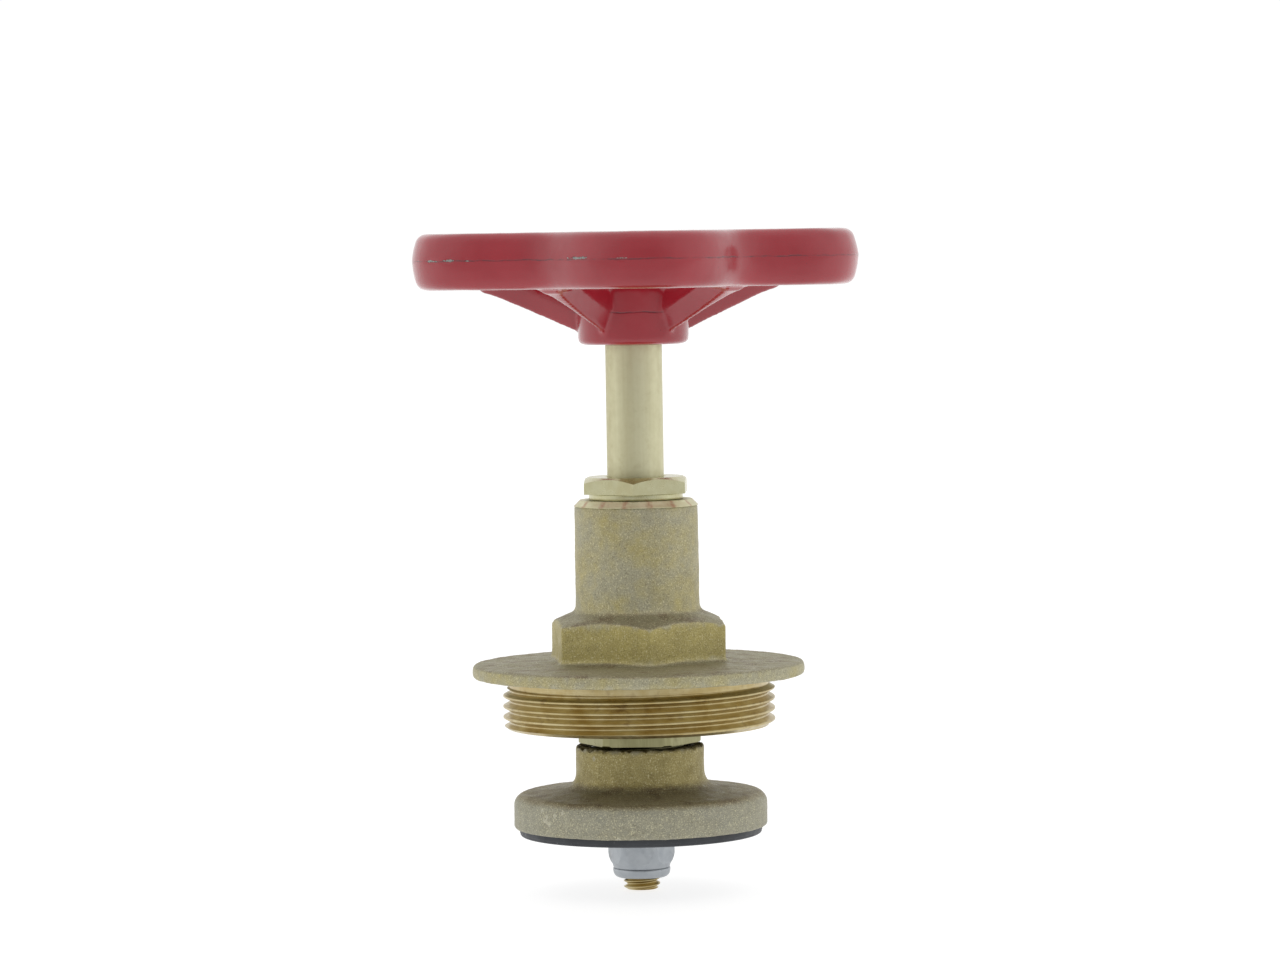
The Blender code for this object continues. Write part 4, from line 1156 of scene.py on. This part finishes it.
def finish_piece(piece, body, nodes, look, sharp=None):
    """Shades a finished piece, gives it its finish and hands it to the frame."""
    pick_up(piece)
    if sharp:
        bpy.ops.object.shade_smooth_by_angle(angle=math.radians(sharp))
    else:
        bpy.ops.object.shade_smooth()
    piece.data.materials.clear()
    piece.data.materials.append(look)
    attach(piece, body)
    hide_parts(*nodes)


def dress_node(name, look):
    """Gives a node that keeps its own shape another finish."""
    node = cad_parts[name]
    node.data.materials.clear()
    node.data.materials.append(look)


make_camera()
make_lighting()
make_stage()

# In both castings, upper is the painted shade on faces turned up
casting_look = sand_cast_brass(
    "bonnet_brass",
    golden=(0.43, 0.36, 0.115),
    grey=(0.39, 0.37, 0.26),
    upper=(0.27, 0.25, 0.155),
    stain_colour=(0.16, 0.12, 0.07),
    band=(FLANGE_TOP + 1, BONNET_HEX_TOP - 2.5),
    least=0.3,
    shift=(0.0, 0.0, 0.0),
)
disc_look = sand_cast_brass(
    "disc_brass",
    golden=(0.38, 0.31, 0.10),
    grey=(0.31, 0.305, 0.245),
    upper=(0.25, 0.215, 0.13),
    stain_colour=(0.14, 0.10, 0.06),
    band=(DISC_SHOULDER_TOP + 1, NECK_TOP),
    least=0.85,
    shift=(0.02, 0.03, 0.05),
)
thread_look = machined_brass(
    "thread_brass", (0.47, 0.37, 0.17), (0.57, 0.49, 0.28), (0.24, 0.16, 0.10), 0.32, rings=0.25
)
stem_look = machined_brass(
    "stem_brass",
    (0.56, 0.53, 0.34),
    (0.64, 0.62, 0.42),
    (0.42, 0.37, 0.20),
    0.48,
    streaks=1.2,
    polish=0.25,
    dirt=0.25,
)
gland_look = machined_brass(
    "gland_brass", (0.50, 0.47, 0.28), (0.56, 0.545, 0.35), (0.38, 0.30, 0.15), 0.24, polish=0.1, dirt=0.2
)
# The retaining nut's brass is a darker copy of machined brass: painted shade
shaded_nut_look = machined_brass(
    "shaded_retaining_brass", (0.29, 0.275, 0.145), (0.35, 0.335, 0.185), (0.18, 0.15, 0.07), 0.30, streaks=0.35
)
wheel_look = red_lacquer()
zinc_look = zinc_plate("lock_nut_zinc", 0.34)
fastener_look = zinc_plate("fastener_zinc", 0.28)

bonnet, disc, spindle = "bonnet", "disc", "spindle"
finish_piece(make_bonnet_casting(), bonnet, ["bonnet"], casting_look)
finish_piece(make_mouth(), bonnet, ["bonnet"], mouth_brass(), 25)
finish_piece(make_body_thread(), bonnet, ["bonnet"], thread_look, 30)
finish_piece(make_gland_nut(), bonnet, ["gland_nut"], gland_look, 25)
finish_piece(make_spindle(), spindle, ["spindle"], stem_look, 30)
finish_piece(make_handwheel(), spindle, ["handwheel"], wheel_look)
flat_washer = washer("flat_washer", "wheel_washer", BOLT_BORE)
finish_piece(flat_washer, spindle, ["wheel_washer"], fastener_look, 40)
finish_piece(make_spring_washer(), spindle, ["wheel_spring_washer"], fastener_look, 40)
finish_piece(make_wheel_nut(), spindle, ["wheel_nut"], fastener_look, 30)
finish_piece(make_disc_casting(), disc, ["disc_holder"], disc_look)
finish_piece(make_spigot(), disc, ["disc_holder"], thread_look, 35)
finish_piece(make_disc_nut(), disc, ["disc_retaining_nut"], shaded_nut_look, 25)
finish_piece(make_seal(), disc, ["seal_disc"], rubber(), 35)
seal_plate = washer("seal_plate", "seal_washer", BOLT_BORE, 0.2)
finish_piece(seal_plate, disc, ["seal_washer"], zinc_look, 40)
finish_piece(make_lock_nut(), disc, ["lock_nut"], zinc_look, 28)
nylon_ring = washer("nylon_ring", "lock_nut_insert", INSERT_BORE)
finish_piece(nylon_ring, disc, ["lock_nut_insert"], nylon(), 40)

packing_look = graphite()
for number in range(1, PACKING_RINGS + 1):
    dress_node(f"packing_ring_{number}", packing_look)
dress_node("packing_washer", gland_look)
dress_node("gland_ring", gland_look)
dress_node("thrust_plate", fastener_look)
